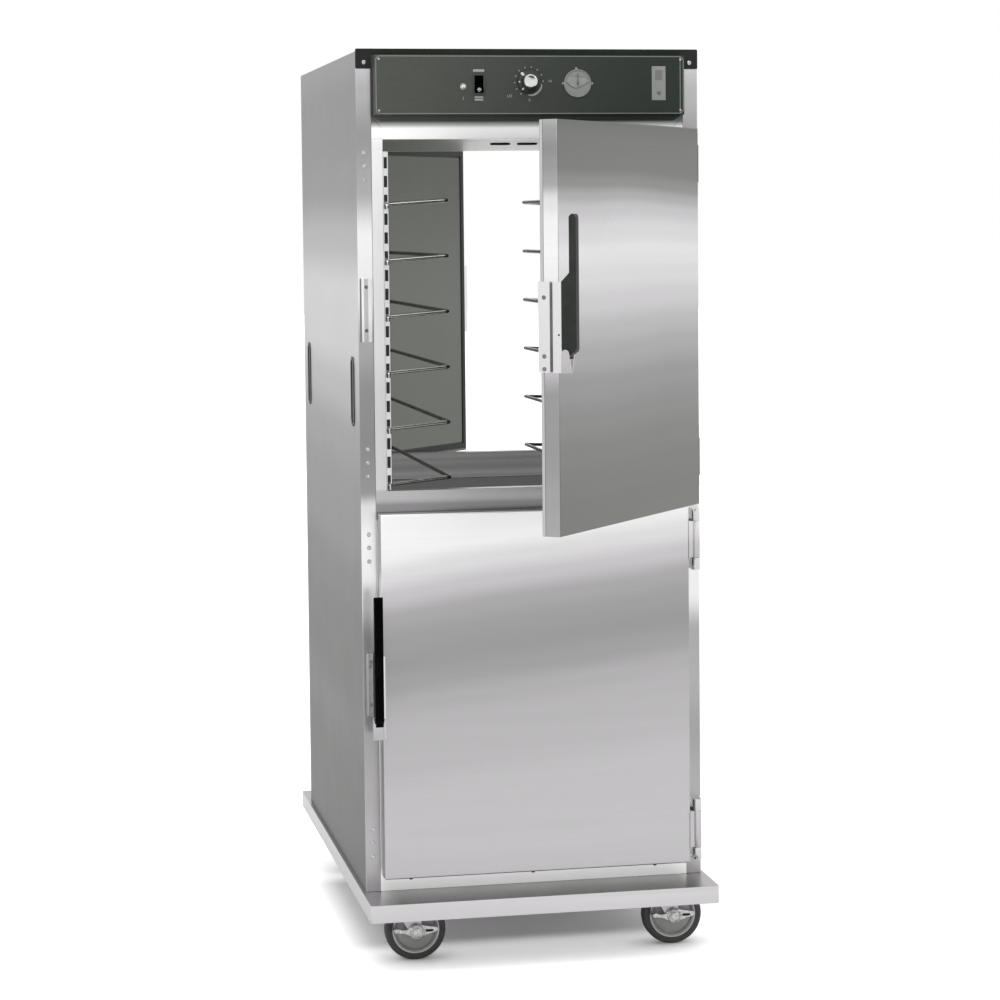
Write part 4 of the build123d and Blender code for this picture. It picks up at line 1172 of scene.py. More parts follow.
# ------------------------------------------------------------------ body
@dataclass
class Body(Assembly):
    """Skins, frames, liner and base pan, with the plugs and seams on them."""

    plug_radius: float = 4.8 * MM
    plug_rise: float = 1.2 * MM
    plug_x: float = 340.0 * MM
    plug_heights: tuple[float, ...] = (1670, 1643, 1615, 1069, 1042, 1014, 895, 868, 840,
                                       287, 260, 231)
    seam_width: float = 0.7 * MM
    seam_proud: float = 0.1 * MM
    header_seam: float = 1697.0 * MM
    header_seam_length: float = 23.0 * MM
    mitre_rise: float = 10.0 * MM
    mitre_drop: float = 23.0 * MM
    mitre_run: float = 20.0 * MM
    ceiling: float = 1696.0 * MM
    hole_x: tuple[float, ...] = (-3.0 * MM, 56.0 * MM)
    hole_y: float = -162.5 * MM
    hole_radius: float = 21.6 * MM
    collar: float = 3.6 * MM
    well_depth: float = 0.6 * MM
    grip_half_width: float = 21.0 * MM
    grip_sheet: float = 2.0 * MM
    grip_lip: float = 1.2 * MM
    grip_flat: float = 5.3 * MM
    grip_sink: float = 27.5 * MM

    def dress_sheets(self) -> None:
        """Gives each sheet its painted reflection and shade bands."""
        for name in ("side_panel_left", "side_panel_right"):
            self.finish(name, sheet_finish(f"steel_{name}", name, SIDE_TONES, ends=POST_TONES,
                                           glance=0.6), 1.2)
        # The rear frame keeps plain edges: a bevel there draws a line from the gland's hole.
        for name, width in (("front_frame", 0.8), ("rear_frame", 0.0)):
            self.finish(name, banded(f"steel_{name}", name, FRAME_BANDS, FRAME_PAINTED_GLOW,
                                     FRAME_INSIDE_PAINTED_GLOW), width)
        self.finish("top_panel", sheet_finish("steel_top", "top_panel", TOP_TONES), 1.0)
        self.finish("base_pan", sheet_finish("steel_base_pan", "base_pan", BASE_PAN_TONES,
                                             grain=Grain.LEVEL, top_level=0.115,
                                             top_ends=(290 * MM, 345 * MM, 0.4)), 1.5, 3)
        self.finish("inner_liner", banded("steel_liner", "inner_liner", LINER_BANDS,
                                          tint=(0.97, 1.0, 0.95)))
        self.finish("wall_insulation", WOOL)

    def plugs(self) -> None:
        """Snap-in plugs down the free-side posts, front left and rear right."""
        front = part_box("side_panel_left")[0][1]
        pattern = head("plug", PLUG_HEAD, self.plug_radius, self.plug_rise)
        places = both_ends([at(-self.plug_x, front, z * MM) for z in self.plug_heights])
        self.keep(Bench.copies("post_plugs", pattern, places), PLUG, "cabinet")

    def seams(self) -> None:
        """Fine dark lines: painted shade along the header's mitres; dark joints at its lower seam
        and the posts' corner welds.
        """
        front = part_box("front_frame")[0][1]
        post_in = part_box("front_frame")[1][0]
        rail_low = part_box("control_housing")[0][2]
        half = self.seam_width / 2
        front += half - self.seam_proud
        lines = []
        for side in (-1, 1):
            start = Vector((side * post_in, front, rail_low + self.mitre_rise))
            end = start + Vector((-side * self.mitre_run, 0, -self.mitre_drop))
            lines.append(Bench.wire("mitre", (start, end), half))
        z = self.header_seam
        for side in (-1, 1):
            ends = ((side * post_in, front, z),
                    (side * (post_in - self.header_seam_length), front, z))
            lines.append(Bench.wire("header_seam", ends, half))
        piece = Bench.joined("frame_seams", lines)
        self.keep(Bench.copies("frame_seams", piece, (Matrix(), HALF_TURN)), DARK, "cabinet")

    def ceiling_holes(self) -> None:
        """Dark collars that hang from the air holes in the ceiling: painted shade inside the
        holes.
        """
        rim, drop, well = self.hole_radius, self.collar, self.well_depth
        profile = [(rim, 0.0), (rim, drop), (rim * 0.94, drop), (rim * 0.9, well), (TIP, well)]
        wells = [Bench.lathe("well", profile, (x, self.hole_y, self.ceiling), Facing.DOWN, 40)
                 for x in self.hole_x]
        self.keep(Bench.joined("ceiling_wells", wells), DARK, "cabinet")

    def grips(self) -> None:
        """Recessed grips with rounded ends, in place of the plain ones."""
        low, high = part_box("hand_grips")
        middle_z = (low[2] + high[2]) / 2
        tall, wide = (high[2] - low[2]) / 2, self.grip_half_width
        y = high[1] - wide
        pattern = Bench.block("grip", (high[0] - self.grip_sheet, -wide, -tall),
                              (high[0], wide, tall))
        edit = Edit(pattern).edges_along(0).bevel(wide * 0.96, 8)
        edit.facing(Facing.RIGHT).inset(self.grip_lip).inset(self.grip_flat)
        edit.push(-self.grip_sink, 0, 0).done()
        Bench.shaded(pattern, 40.0)
        places = both_ends([at(0, side * y, middle_z) for side in (-1, 1)])
        piece = Bench.copies("grip_cups", pattern, places)
        self.keep(piece, BLACK, "cabinet", ["hand_grips"])

    def build(self) -> None:
        """Builds and dresses the body."""
        self.dress_sheets()
        self.plugs()
        self.seams()
        self.ceiling_holes()
        self.grips()
        self.report()


# ------------------------------------------------------------------ doors
@dataclass
class Door(Assembly):
    """One of the four doors, worked on as if closed at the front, then hung in its place."""

    level: str = "upper"
    end: str = "front"
    joints: dict[str, dict] = field(default_factory=dict)
    latch_side_x: float = -335.5 * MM
    strip_depth: float = 57.2 * MM
    strip_skin: float = 0.4 * MM
    seal_depths: Span = (37.5 * MM, 30.5 * MM)
    seal_sides: Span = (-0.5 * MM, 4.0 * MM)
    seal_foot: float = 2.0 * MM
    seal_length: float = 164.0 * MM
    hole_radius: float = 1.9 * MM
    hole_at: Point = (-6.0 * MM, -51.5 * MM, 68.0 * MM)
    screw_radius: float = 4.2 * MM
    screw_rise: float = 1.1 * MM
    screw_depth: float = 18.0 * MM
    screw_heights: tuple[float, ...] = (138.6, 30.0, 6.5)
    drain_x: tuple[float, ...] = (-268.0, -13.0, 246.0)
    drain_radius: float = 5.0 * MM
    drain_length: float = 7.0 * MM
    drain_sink: float = 2.6 * MM
    shell_depth: float = 40.5 * MM

    def __post_init__(self) -> None:
        """Works out the door's name, its latch height and the way to its place."""
        self.name = f"door_{self.level}_{self.end}"
        joint = self.joints[f"{self.name}_hinge"]
        angle = -radians(joint["range_deg"][0])
        x, y, _ = joint["pos_m"]
        turn = -1 if self.end == "rear" else 1
        hinge = at(x * turn, y * turn, 0)
        self.place = hinge @ Matrix.Rotation(angle, 4, "Z") @ hinge.inverted()
        if self.end == "rear":
            self.place = HALF_TURN @ self.place
        self.latch_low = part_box(f"{self.name}_latch")[0][2]
        self.rim_way = tuple(self.place.to_3x3() @ Vector((-1, 0, 0)))

    def rim_at(self, part: str) -> float:
        """How far a node of the door reaches towards its free edge.

        Args:
            part: the node's name without the door's.
        Returns:
            The distance along the way to that edge.
        """
        way = Vector(self.rim_way)
        vertices = self.node(f"{self.name}_{part}").data.vertices
        return max(vertex.co.dot(way) for vertex in vertices)

    def hang(self, piece: Mesh) -> Mesh:
        """Moves a piece from the closed front door to this door."""
        return Bench.moved(piece, self.place)

    def dress_shells(self) -> None:
        """Finishes of the two pans, the gasket, the latch and the lever."""
        upper = self.level == "upper"
        name = self.name
        edge = {"rim_way": self.rim_way, "rim_at": self.rim_at("outer_pan")}
        # The pans' tones are painted reflection and shade bands; lower inner pans get painted
        # glow.
        outer = sheet_finish(f"steel_{name}", f"{name}_outer_pan",
                             UPPER_DOOR_TONES if upper else LOWER_DOOR_TONES,
                             climb=0.0 if upper else 0.13, grain=Grain.LEVEL,
                             rim=DOOR_RIM_TONES, **edge)
        self.finish(f"{name}_outer_pan", outer, 0.6)
        edge["rim_at"] = self.rim_at("inner_pan")
        inner = sheet_finish(f"steel_inner_{name}", f"{name}_inner_pan", INNER_PAN_TONES,
                             roughness=0.38, tint=(0.96, 1.0, 0.9), rim=INNER_RIM_TONES,
                             fill=() if upper else INNER_PAN_PAINTED_GLOW, **edge)
        self.finish(f"{name}_inner_pan", inner, 1.6, 3)
        self.finish(f"{name}_gasket", GASKET)
        out = self.place.to_3x3() @ Vector((0, -1, 0))
        strip = (self.place @ Vector((0, BODY_FRONT - self.strip_depth, 0))).dot(out)
        latch = sheet_finish(f"chrome_{name}", f"{name}_latch", LATCH_TONES, roughness=0.16,
                             rim=LATCH_STRIP_TONES, rim_way=tuple(out),
                             rim_at=strip + self.strip_skin)
        self.finish(f"{name}_latch", latch, 0.9, 3)
        # A lighter black on the upper levers paints light.
        self.finish(f"{name}_lever", LEVER if upper else LEVER_BLACK, 1.6, 3)

    def latch_screws(self) -> None:
        """Three ring-headed screws down the latch's side face."""
        pattern = head("latch_screw", PLUG_HEAD, self.screw_radius, self.screw_rise, Facing.LEFT)
        y = BODY_FRONT - self.screw_depth
        places = [at(self.latch_side_x, y, self.latch_low + z * MM) for z in self.screw_heights]
        piece = Bench.copies(f"{self.name}_latch_screws", pattern, places)
        self.keep(self.hang(piece), RING_SCREW, self.name)

    def latch_seal(self) -> None:
        """Dark strip in the latch's groove, and the small hole in its front strip as painted
        shade.
        """
        low = self.latch_low + self.seal_foot
        x, (back, front), (left, right) = self.latch_side_x, self.seal_depths, self.seal_sides
        strip = Bench.plate(f"{self.name}_latch_seal", (x + left, BODY_FRONT - back, low),
                            (x + right, BODY_FRONT - front, low + self.seal_length),
                            1.4 * MM, 3)
        self.keep(self.hang(strip), SEAL, self.name)
        rim = self.hole_radius
        profile = [(rim, 0), (rim, 0.15 * MM), (TIP, 0.2 * MM)]
        centre = Vector((x, BODY_FRONT, low)) + Vector(self.hole_at)
        hole = Bench.lathe(f"{self.name}_latch_hole", profile, centre, Facing.LEFT, 14)
        self.keep(self.hang(hole), DARK, self.name)

    def drains(self) -> None:
        """Small dark drain plugs under the front edge of a lower door."""
        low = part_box(f"{self.name}_outer_pan")[0][2]
        rim, long = self.drain_radius, self.drain_length
        profile = [(rim, 0), (rim, long - 1 * MM), (rim * 0.8, long), (TIP, long)]
        pattern = Bench.lathe("drain", profile, (0, 0, 0), Facing.FRONT, 16)
        y = BODY_FRONT - self.shell_depth + long
        places = [at(x * MM, y, low + rim - self.drain_sink) for x in self.drain_x]
        piece = Bench.copies(f"{self.name}_drains", pattern, places)
        self.keep(self.hang(piece), DARK, self.name)

    def build(self) -> None:
        """Builds and dresses the door."""
        self.dress_shells()
        self.latch_screws()
        self.latch_seal()
        if self.level == "lower":
            self.drains()
        self.report()


# ------------------------------------------------------------------ rack
@dataclass
class Rack(Assembly):
    """Slotted uprights and the bent-wire tray slides that hook into them."""

    wire_radius: float = 4.2 * MM
    levels: int = 6
    pitch: float = 114.3 * MM
    first_drop: float = 98.7 * MM
    compartment: float = 773.0 * MM
    reach: float = 134.0 * MM
    setback: float = 57.0 * MM
    leg_back: float = 15.9 * MM
    hook_drop: float = 9.0 * MM
    foot_drop: float = 8.2 * MM
    bend: float = 7.0 * MM
    bend_steps: int = 5
    back_inset: float = 2.2 * MM
    back_sheet: float = 0.4 * MM
    back_sides: Span = (4.0 * MM, 12.4 * MM)
    back_top: float = 12.0 * MM
    back_foot: float = 40.0 * MM
    over_wire: float = 6.0 * MM
    under_wire: float = 14.0 * MM

    def rounded(self, corners: Sequence[Vector]) -> list[Vector]:
        """A path whose inner corners are turned by arcs.

        Args:
            corners: the path's corners, its ends among them.
        Returns:
            The points of the smooth path.
        """
        path = [corners[0]]
        for before, corner, after in zip(corners, corners[1:], corners[2:]):
            back = (before - corner).normalized()
            on = (after - corner).normalized()
            cut = min(self.bend, (before - corner).length * 0.45, (after - corner).length * 0.45)
            start, end = corner + back * cut, corner + on * cut
            for i in range(self.bend_steps + 1):
                t = i / self.bend_steps
                path.append(start * (1 - t) ** 2 + corner * 2 * t * (1 - t) + end * t * t)
        return path + [corners[-1]]

    def slide(self, x: float, y: float) -> Mesh:
        """A left-hand slide at height 0, between the hooks at -y and y.

        Args:
            x: the wire's distance from the middle plane, as a signed X.
            y: how far each hook lies from the middle.
        Returns:
            The slide as one wire.
        """
        rod = x + self.reach
        foot = -self.foot_drop
        half = [Vector((rod, y - self.setback, 0)), Vector((x, y - self.leg_back, foot)),
                Vector((x, y, foot)), Vector((x, y, foot - self.hook_drop))]
        corners = [Vector((p.x, -p.y, p.z)) for p in reversed(half)] + half
        return Bench.wire("slide", self.rounded(corners), self.wire_radius)

    def slides(self) -> None:
        """All the slides, from one pattern."""
        low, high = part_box("wire_slides")
        x = low[0] + self.wire_radius
        y = high[1] - self.wire_radius
        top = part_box("rack_uprights")[1][2] - self.first_drop
        places = []
        for row in range(2):
            for level in range(self.levels):
                z = top - row * self.compartment - level * self.pitch
                places += [at(0, 0, z), at(0, 0, z) @ HALF_TURN]
        piece = Bench.copies("tray_slides", self.slide(x, y), places)
        self.keep(piece, WIRE, "cabinet", ["wire_slides"])

    def slot_backs(self) -> None:
        """Dark strips just behind the slotted flanges, cut where the wires pass."""
        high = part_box("rack_uprights")[1]
        y = high[1] - self.back_inset
        inner, outer = (side - high[0] for side in self.back_sides)
        strips = []
        for row in range(2):
            top = high[2] - row * self.compartment
            edges = [top - self.back_top]
            for level in range(self.levels):
                wire = top - self.first_drop - level * self.pitch - self.foot_drop
                edges += [wire + self.over_wire, wire - self.under_wire]
            edges.append(edges[-1] - self.back_foot)
            for upper, lower in zip(edges[::2], edges[1::2]):
                strips.append(Bench.block("slot_back", (inner, -y, lower),
                                          (outer, -y + self.back_sheet, upper)))
        piece = Bench.joined("slot_backs", strips)
        mirror = Matrix.Scale(-1, 4, (1, 0, 0))
        flipped = Bench.copies("slot_backs", piece, (Matrix(), HALF_TURN, mirror,
                                                     HALF_TURN @ mirror))
        self.keep(Edit(flipped).done(), SLOT, "cabinet")

    def build(self) -> None:
        """Builds and dresses the rack."""
        finish = sheet_finish("steel_uprights", "rack_uprights", UPRIGHT_TONES)
        self.finish("rack_uprights", finish, 0.4)
        self.slides()
        self.slot_backs()
        self.report()


# ------------------------------------------------------------------ controls
@dataclass
class Controls(Assembly):
    """Fascia with its border, switch, knob, scale, lamp, thermometer and bare plate."""

    line: float = 1.7 * MM
    line_inset: float = 1.6 * MM
    line_radius: float = 9.0 * MM
    end_line: float = 9.0 * MM
    corner_screw: float = 2.2 * MM
    screw_inset: float = 8.5 * MM
    mark_angles: tuple[float, ...] = (236, 210, 184, 158, 132, 106, 80, 54, 28, 2)
    mark_radius: float = 29.5 * MM
    gauge_radius: float = 28.3 * MM
    plate_x: Span = (251.6 * MM, 280.5 * MM)
    plate_drop: Span = (22.0 * MM, 91.0 * MM)
    height: float = 120.0 * MM
    reach: float = 30.0 * MM
    legends: tuple[Point, ...] = ((27.5, 23.0, 5.0), (-26.0, 17.5, 3.0), (-31.0, 17.5, 3.4))
    dot_drop: float = 11.5 * MM
    dot_sink: float = 1.6 * MM
    streaks: tuple[tuple[float, ...], ...] = ((133.0, 15.6, 9.0, 5.0), (228.0, 17.5, 5.0, 2.6),
                                              (181.0, 19.0, 3.0, 3.0))
    streak_rise: Span = (7.2 * MM, 3.8 * MM)
    figures: tuple[tuple[str, float, float, float], ...] = (
        ("LO", 8.0, -40.0, -29.0), ("HI", 7.0, 44.0, 1.0), ("0", 7.5, 1.0, -37.0))
    crescent_turn: Span = (-8.0, -88.0)
    crescent_steps: int = 18
    crescent_radii: Point = (26.0 * MM, 26.2 * MM, 4.2 * MM)
    lamp_mark_drop: float = 24.0 * MM
    fan: tuple[Span, ...] = ((-16, 15), (-6, 14), (6, 13.4), (17, 11.5), (21, 4), (11, -3),
                             (2, -7.5), (-4, -9), (-11, -6.5), (-18, -1.5), (-21, 4), (-20, 10))
    smile: tuple[Span, ...] = ((-24, 2), (-19, -2.5), (-12, -7.5), (-4, -10), (3, -8.5),
                               (12, -4), (19, 0), (25, 3.5))
    ear_angles: tuple[float, ...] = (95, 180, 0)
    ear_reach: float = 2.0 * MM
    ear_radius: float = 2.6 * MM
    trim_screw: float = 4.2 * MM
    trim_screw_x: float = 338.0 * MM
    trim_screw_rise: float = 12.5 * MM

    def __post_init__(self) -> None:
        """Reads the fascia's corners and the middles of what sits on it."""
        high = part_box("control_housing")[1]
        self.face = BODY_FRONT - self.reach
        self.x = high[0]
        self.top = high[2]
        self.low = high[2] - self.height

    def middle(self, name: str) -> Vector:
        """The middle of a node's box."""
        low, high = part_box(name)
        return (Vector(low) + Vector(high)) / 2

    def fascia(self) -> None:
        """Finish of the housing, its pale border line and the corner screws."""
        self.finish("control_housing", FASCIA, 1.0)
        inset = self.line_inset
        frame = Bench.block("border", (-self.x + inset, self.face - 0.25 * MM, self.low + inset),
                            (self.x - inset, self.face, self.top - inset))
        edit = Edit(frame).edges_along(1).bevel(self.line_radius, 5)
        for way in (Facing.FRONT, Facing.REAR):
            edit.facing(way).inset(self.line)
            bpy.ops.mesh.delete(type="FACE")
        edit.bridge_rims().done()
        x = self.x - self.end_line
        end_line = self.bar("end_line", x, (self.top + self.low) / 2, self.line,
                            self.top - self.low - 4 * self.line_inset)
        self.keep(Bench.joined("fascia_border", [frame, end_line]), FASCIA_LINE, "cabinet")
        pattern = head("fascia_screw", SCREW_HEAD, self.corner_screw, 0.8 * MM)
        gap = self.screw_inset
        places = [at(side * (self.x - gap), self.face, z)
                  for side in (-1, 1) for z in (self.low + gap, self.top - gap)]
        self.keep(Bench.copies("fascia_screws", pattern, places), SCREW, "cabinet")

    def bar(self, name: str, x: float, z: float, width: float, height: float,
            rise: float = 0.2 * MM) -> Mesh:
        """A printed bar on the fascia, with softened corners.

        Args:
            name: the piece's name.
            x: its middle across the fascia.
            z: its middle in height.
            width: its size across.
            height: its size in height.
            rise: how far it stands proud.
        Returns:
            The bar.
        """
        piece = Bench.block(name, (x - width / 2, self.face - rise, z - height / 2),
                            (x + width / 2, self.face, z + height / 2))
        return Edit(piece).edges_along(1).bevel(min(width, height) * 0.2).done()

    def disc(self, name: str, x: float, z: float, radius: float, rise: float = 0.2 * MM,
             sides: int = 16) -> Mesh:
        """A printed dot or a low disc on the fascia."""
        profile = [(radius, 0.0), (radius, rise * 0.8), (radius * 0.9, rise), (TIP, rise)]
        return Bench.lathe(name, profile, (x, self.face, z), Facing.FRONT, sides)

    def switch(self) -> None:
        """Finish of the rocker, the dot on it and the bars printed over and under it."""
        self.finish("power_rocker", ROCKER, 0.6)
        middle = self.middle("power_rocker")
        bars = [self.bar("bar", middle.x, middle.z + z * MM, width * MM, height * MM)
                for z, width, height in self.legends]
        self.keep(Bench.joined("switch_legends", bars), PRINT, "cabinet")
        low = middle.z - self.dot_drop
        front = min(v.co.y for v in self.node("power_rocker").data.vertices
                    if v.co.z < low + 1 * MM)
        profile = ((4.2, -3.0), (4.2, 0.8), (3.4, 1.2), (0.02, 1.2))
        dot = Bench.lathe("rocker_dot", mm(profile), (middle.x, front + self.dot_sink, low),
                          Facing.FRONT, 20)
        self.keep(dot, PRINT, "rocker")

    def knob(self) -> None:
        """Knob with a black notched skirt, a bright cap and a pointer, and its printed scale."""
        middle = self.middle("thermostat_knob")
        centre = Vector((middle.x, self.face, middle.z))
        skirt = [(24.2, 0.3), (24.2, 2.5), (23.4, 4.6), (21.0, 5.4), (18.0, 6.4), (16.6, 8.0),
                 (15.6, 13.0), (14.6, 14.0), (0.02, 14.0)]
        piece = Bench.lathe("knob_skirt", mm(skirt), centre, Facing.FRONT, 60)
        edit = Edit(piece)
        edit.faces(lambda f: abs(f.normal.y) < 0.4
                   and (f.calc_center_median() - centre).xz.length < 18 * MM
                   and f.index % 3 == 0)
        edit.inset(0.25 * MM, -0.6 * MM)
        self.keep(edit.done(), BLACK, "knob", ["thermostat_knob"])
        cap = [(14.2, 14.0), (14.2, 19.6), (13.4, 20.8), (11.4, 21.4), (10.4, 21.0), (6.0, 20.6),
               (4.6, 20.2), (0.02, 20.0)]
        self.keep(Bench.lathe("knob_cap", mm(cap), centre, Facing.FRONT), CHROME, "knob")
        self.pointer(centre)
        self.scale(centre)

    def pointer(self, centre: Vector) -> None:
        """White streaks on the knob's skirt, the longest as the pointer.

        Args:
            centre: the middle of the knob on the fascia.
        """
        streaks = []
        out, back = self.streak_rise
        for angle, start, length, width in self.streaks:
            streak = Bench.plate("streak", (start * MM, -out, -width / 2 * MM),
                                 ((start + length) * MM, -back, width / 2 * MM), 0.6 * MM)
            turn = Matrix.Rotation(-radians(angle), 4, "Y")
            streaks.append(Bench.moved(streak, Matrix.Translation(centre) @ turn))
        self.keep(Bench.joined("knob_streaks", streaks), WHITE_PRINT, "knob")

    def scale(self, centre: Vector) -> None:
        """Printed dots and letters round the knob, and the crescent beside it.

        Args:
            centre: the middle of the knob on the fascia.
        """
        marks = []
        for angle in self.mark_angles:
            x = centre.x + self.mark_radius * cos(radians(angle))
            z = centre.z + self.mark_radius * sin(radians(angle))
            marks.append(self.disc("mark", x, z, 1.4 * MM, sides=10))
        for words, size, x, z in self.figures:
            marks.append(Bench.letters("figures", words, size * MM,
                                       centre + Vector((x, 0, z)) * MM))
        self.keep(Bench.joined("knob_scale", marks), PRINT, "cabinet")
        start, sweep = self.crescent_turn
        near, far, swell = self.crescent_radii
        outer, inner = [], []
        for i in range(self.crescent_steps + 1):
            share = i / self.crescent_steps
            angle = radians(start + sweep * share)
            way = Vector((cos(angle), 0, sin(angle)))
            outer.append(centre + way * (far + swell * sin(pi * share) ** 0.5))
            inner.append(centre + way * near)
        self.keep(self.shape("scale_crescent", outer + inner[::-1]), PRINT, "cabinet")

    def shape(self, name: str, outline: Sequence[Vector], rise: float = 0.2 * MM,
              lift: float = 0.0) -> Mesh:
        """A printed or pressed flat shape with an outline, standing proud of the fascia."""
        flat = [Vector((point.x, self.face - lift, point.z)) for point in outline]
        return Bench.slab(name, flat, (0, -rise, 0))

    def lamp(self) -> None:
        """Lamp with a chrome collar and a faceted lens."""
        middle = self.middle("indicator_lamp")
        centre = (middle.x, self.face, middle.z)
        lens = [(5.4, 0.0), (5.4, 2.4), (4.0, 4.0), (1.6, 4.4), (1.4, 3.6), (0.02, 3.4)]
        collar = [(6.6, 0.0), (6.6, 1.0), (6.1, 1.6), (5.5, 1.6), (5.5, 0.0)]
        self.keep(Bench.lathe("lamp_lens", mm(lens), centre, Facing.FRONT, 8),
                  LAMP, "cabinet", ["indicator_lamp"])
        self.keep(Bench.lathe("lamp_collar", mm(collar), centre, Facing.FRONT, 24, ring=True),
                  CHROME, "cabinet")
        glyph = Bench.letters("lamp_glyph", "I", 9.0 * MM,
                              (middle.x, self.face, middle.z - self.lamp_mark_drop))
        self.keep(glyph, PRINT, "cabinet")

    def thermometer(self) -> None:
        """Round gauge: low rim with three ears, dial, a fan-shaped window and its needle."""
        middle = self.middle("thermometer_case")
        centre = Vector((middle.x, self.face, middle.z))
        out = self.gauge_radius
        rim = [(out - inward * MM, rise * MM) for inward, rise in (
            (0, 0), (0, 2.2), (0.8, 3), (1.8, 3), (2.2, 1.6), (3.4, 1.5), (3.4, 0))]
        pieces = [Bench.lathe("gauge_rim", rim, centre, Facing.FRONT, 72, ring=True)]
        for angle in self.ear_angles:
            x = middle.x + (out + self.ear_reach) * cos(radians(angle))
            z = middle.z + (out + self.ear_reach) * sin(radians(angle))
            pieces.append(self.disc("ear", x, z, self.ear_radius, 1.8 * MM))
        self.keep(Bench.joined("gauge_rim", pieces), BARE_PLATE, "cabinet", ["thermometer_case"])
        dial = self.disc("gauge_dial", middle.x, middle.z, out - 2.4 * MM, 1.5 * MM, 48)
        self.keep(dial, DIAL, "cabinet")
        fan = [Vector((dx, 0, dz)) * MM for dx, dz in self.fan]
        window = self.shape("gauge_window", [centre + p for p in fan], 0.2 * MM, 1.5 * MM)
        self.keep(window, DIAL_WINDOW, "cabinet")
        face = Vector((0, -1.8 * MM, 0))
        smile = [centre + face + Vector((dx, 0, dz)) * MM for dx, dz in self.smile]
        brow = [centre + face + point for point in fan[:4]]
        lines = [Bench.wire("line", smile, 0.55 * MM), Bench.wire("line", brow, 0.3 * MM)]
        self.keep(Bench.joined("gauge_lines", lines), DIAL_INK, "cabinet")
        self.finish("thermometer_needle", DIAL_INK)

    def plate(self) -> None:
        """Bare rectangular plate at the right, with painted shade for a plain recess and a round
        dimple.
        """
        low, high = self.plate_x
        top, bottom = self.top - self.plate_drop[0], self.top - self.plate_drop[1]
        middle = (low + high) / 2
        piece = Bench.block("bare_plate", (low, self.face - 0.6 * MM, bottom),
                            (high, self.face, top))
        edit = Edit(piece).facing(Facing.FRONT).inset(0.8 * MM, 0.2 * MM)
        self.keep(edit.done(), BARE_PLATE, "cabinet")
        shade = self.bar("plate_recess", middle, top - 18.0 * MM, 15.0 * MM, 21.0 * MM, 1.0 * MM)
        self.keep(shade, PLATE_SHADE, "cabinet")
        # The dimple is a dark disc in the ink colour: painted shade.
        dimple = self.disc("plate_dimple", middle, bottom + 14.5 * MM, 4.6 * MM, 1.1 * MM, 24)
        self.keep(dimple, DIAL_INK, "cabinet")

    def trim(self) -> None:
        """Finish of the top trim, with a bright screw in each ear."""
        self.finish("top_trim", TRIM, 0.6)
        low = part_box("top_trim")[0]
        pattern = head("trim_screw", SCREW_HEAD, self.trim_screw, 1.2 * MM)
        places = [at(side * self.trim_screw_x, low[1], low[2] + self.trim_screw_rise)
                  for side in (-1, 1)]
        self.keep(Bench.copies("trim_screws", pattern, places), SCREW, "cabinet")

    def build(self) -> None:
        """Builds and dresses the controls."""
        self.fascia()
        self.switch()
        self.knob()
        self.lamp()
        self.thermometer()
        self.plate()
        self.trim()
        self.report()


# ------------------------------------------------------------------ air system and hardware
@dataclass
class AirSystem(Assembly):
    """Duct, heater, motor and blower over the ceiling."""

    fins: int = 6

    def build(self) -> None:
        """Dresses the nodes; the motor gets cooling fins."""
        GALVANISED.dress(self.node("ceiling_duct"), self.node("blower_wheel"))
        self.finish("heater_element", COPPER)
        low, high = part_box("blower_motor")
        middle = ((low[0] + high[0]) / 2, (low[1] + high[1]) / 2, low[2])
        radius, height = (high[0] - low[0]) / 2, high[2] - low[2]
        skin, root = radius * 0.98, radius * 0.86
        profile = [(skin, 0.0)]
        for fin in range(self.fins):
            z = height * (0.15 + 0.11 * fin)
            profile += [(skin, z), (root, z + 1 * MM), (root, z + 3 * MM), (skin, z + 4 * MM)]
        profile += [(skin, height * 0.93), (radius * 0.88, height), (TIP, height)]
        motor = Bench.lathe("finned_motor", profile, middle, Facing.UP, 40)
        self.keep(motor, GALVANISED, "cabinet", ["blower_motor"])
        self.report()


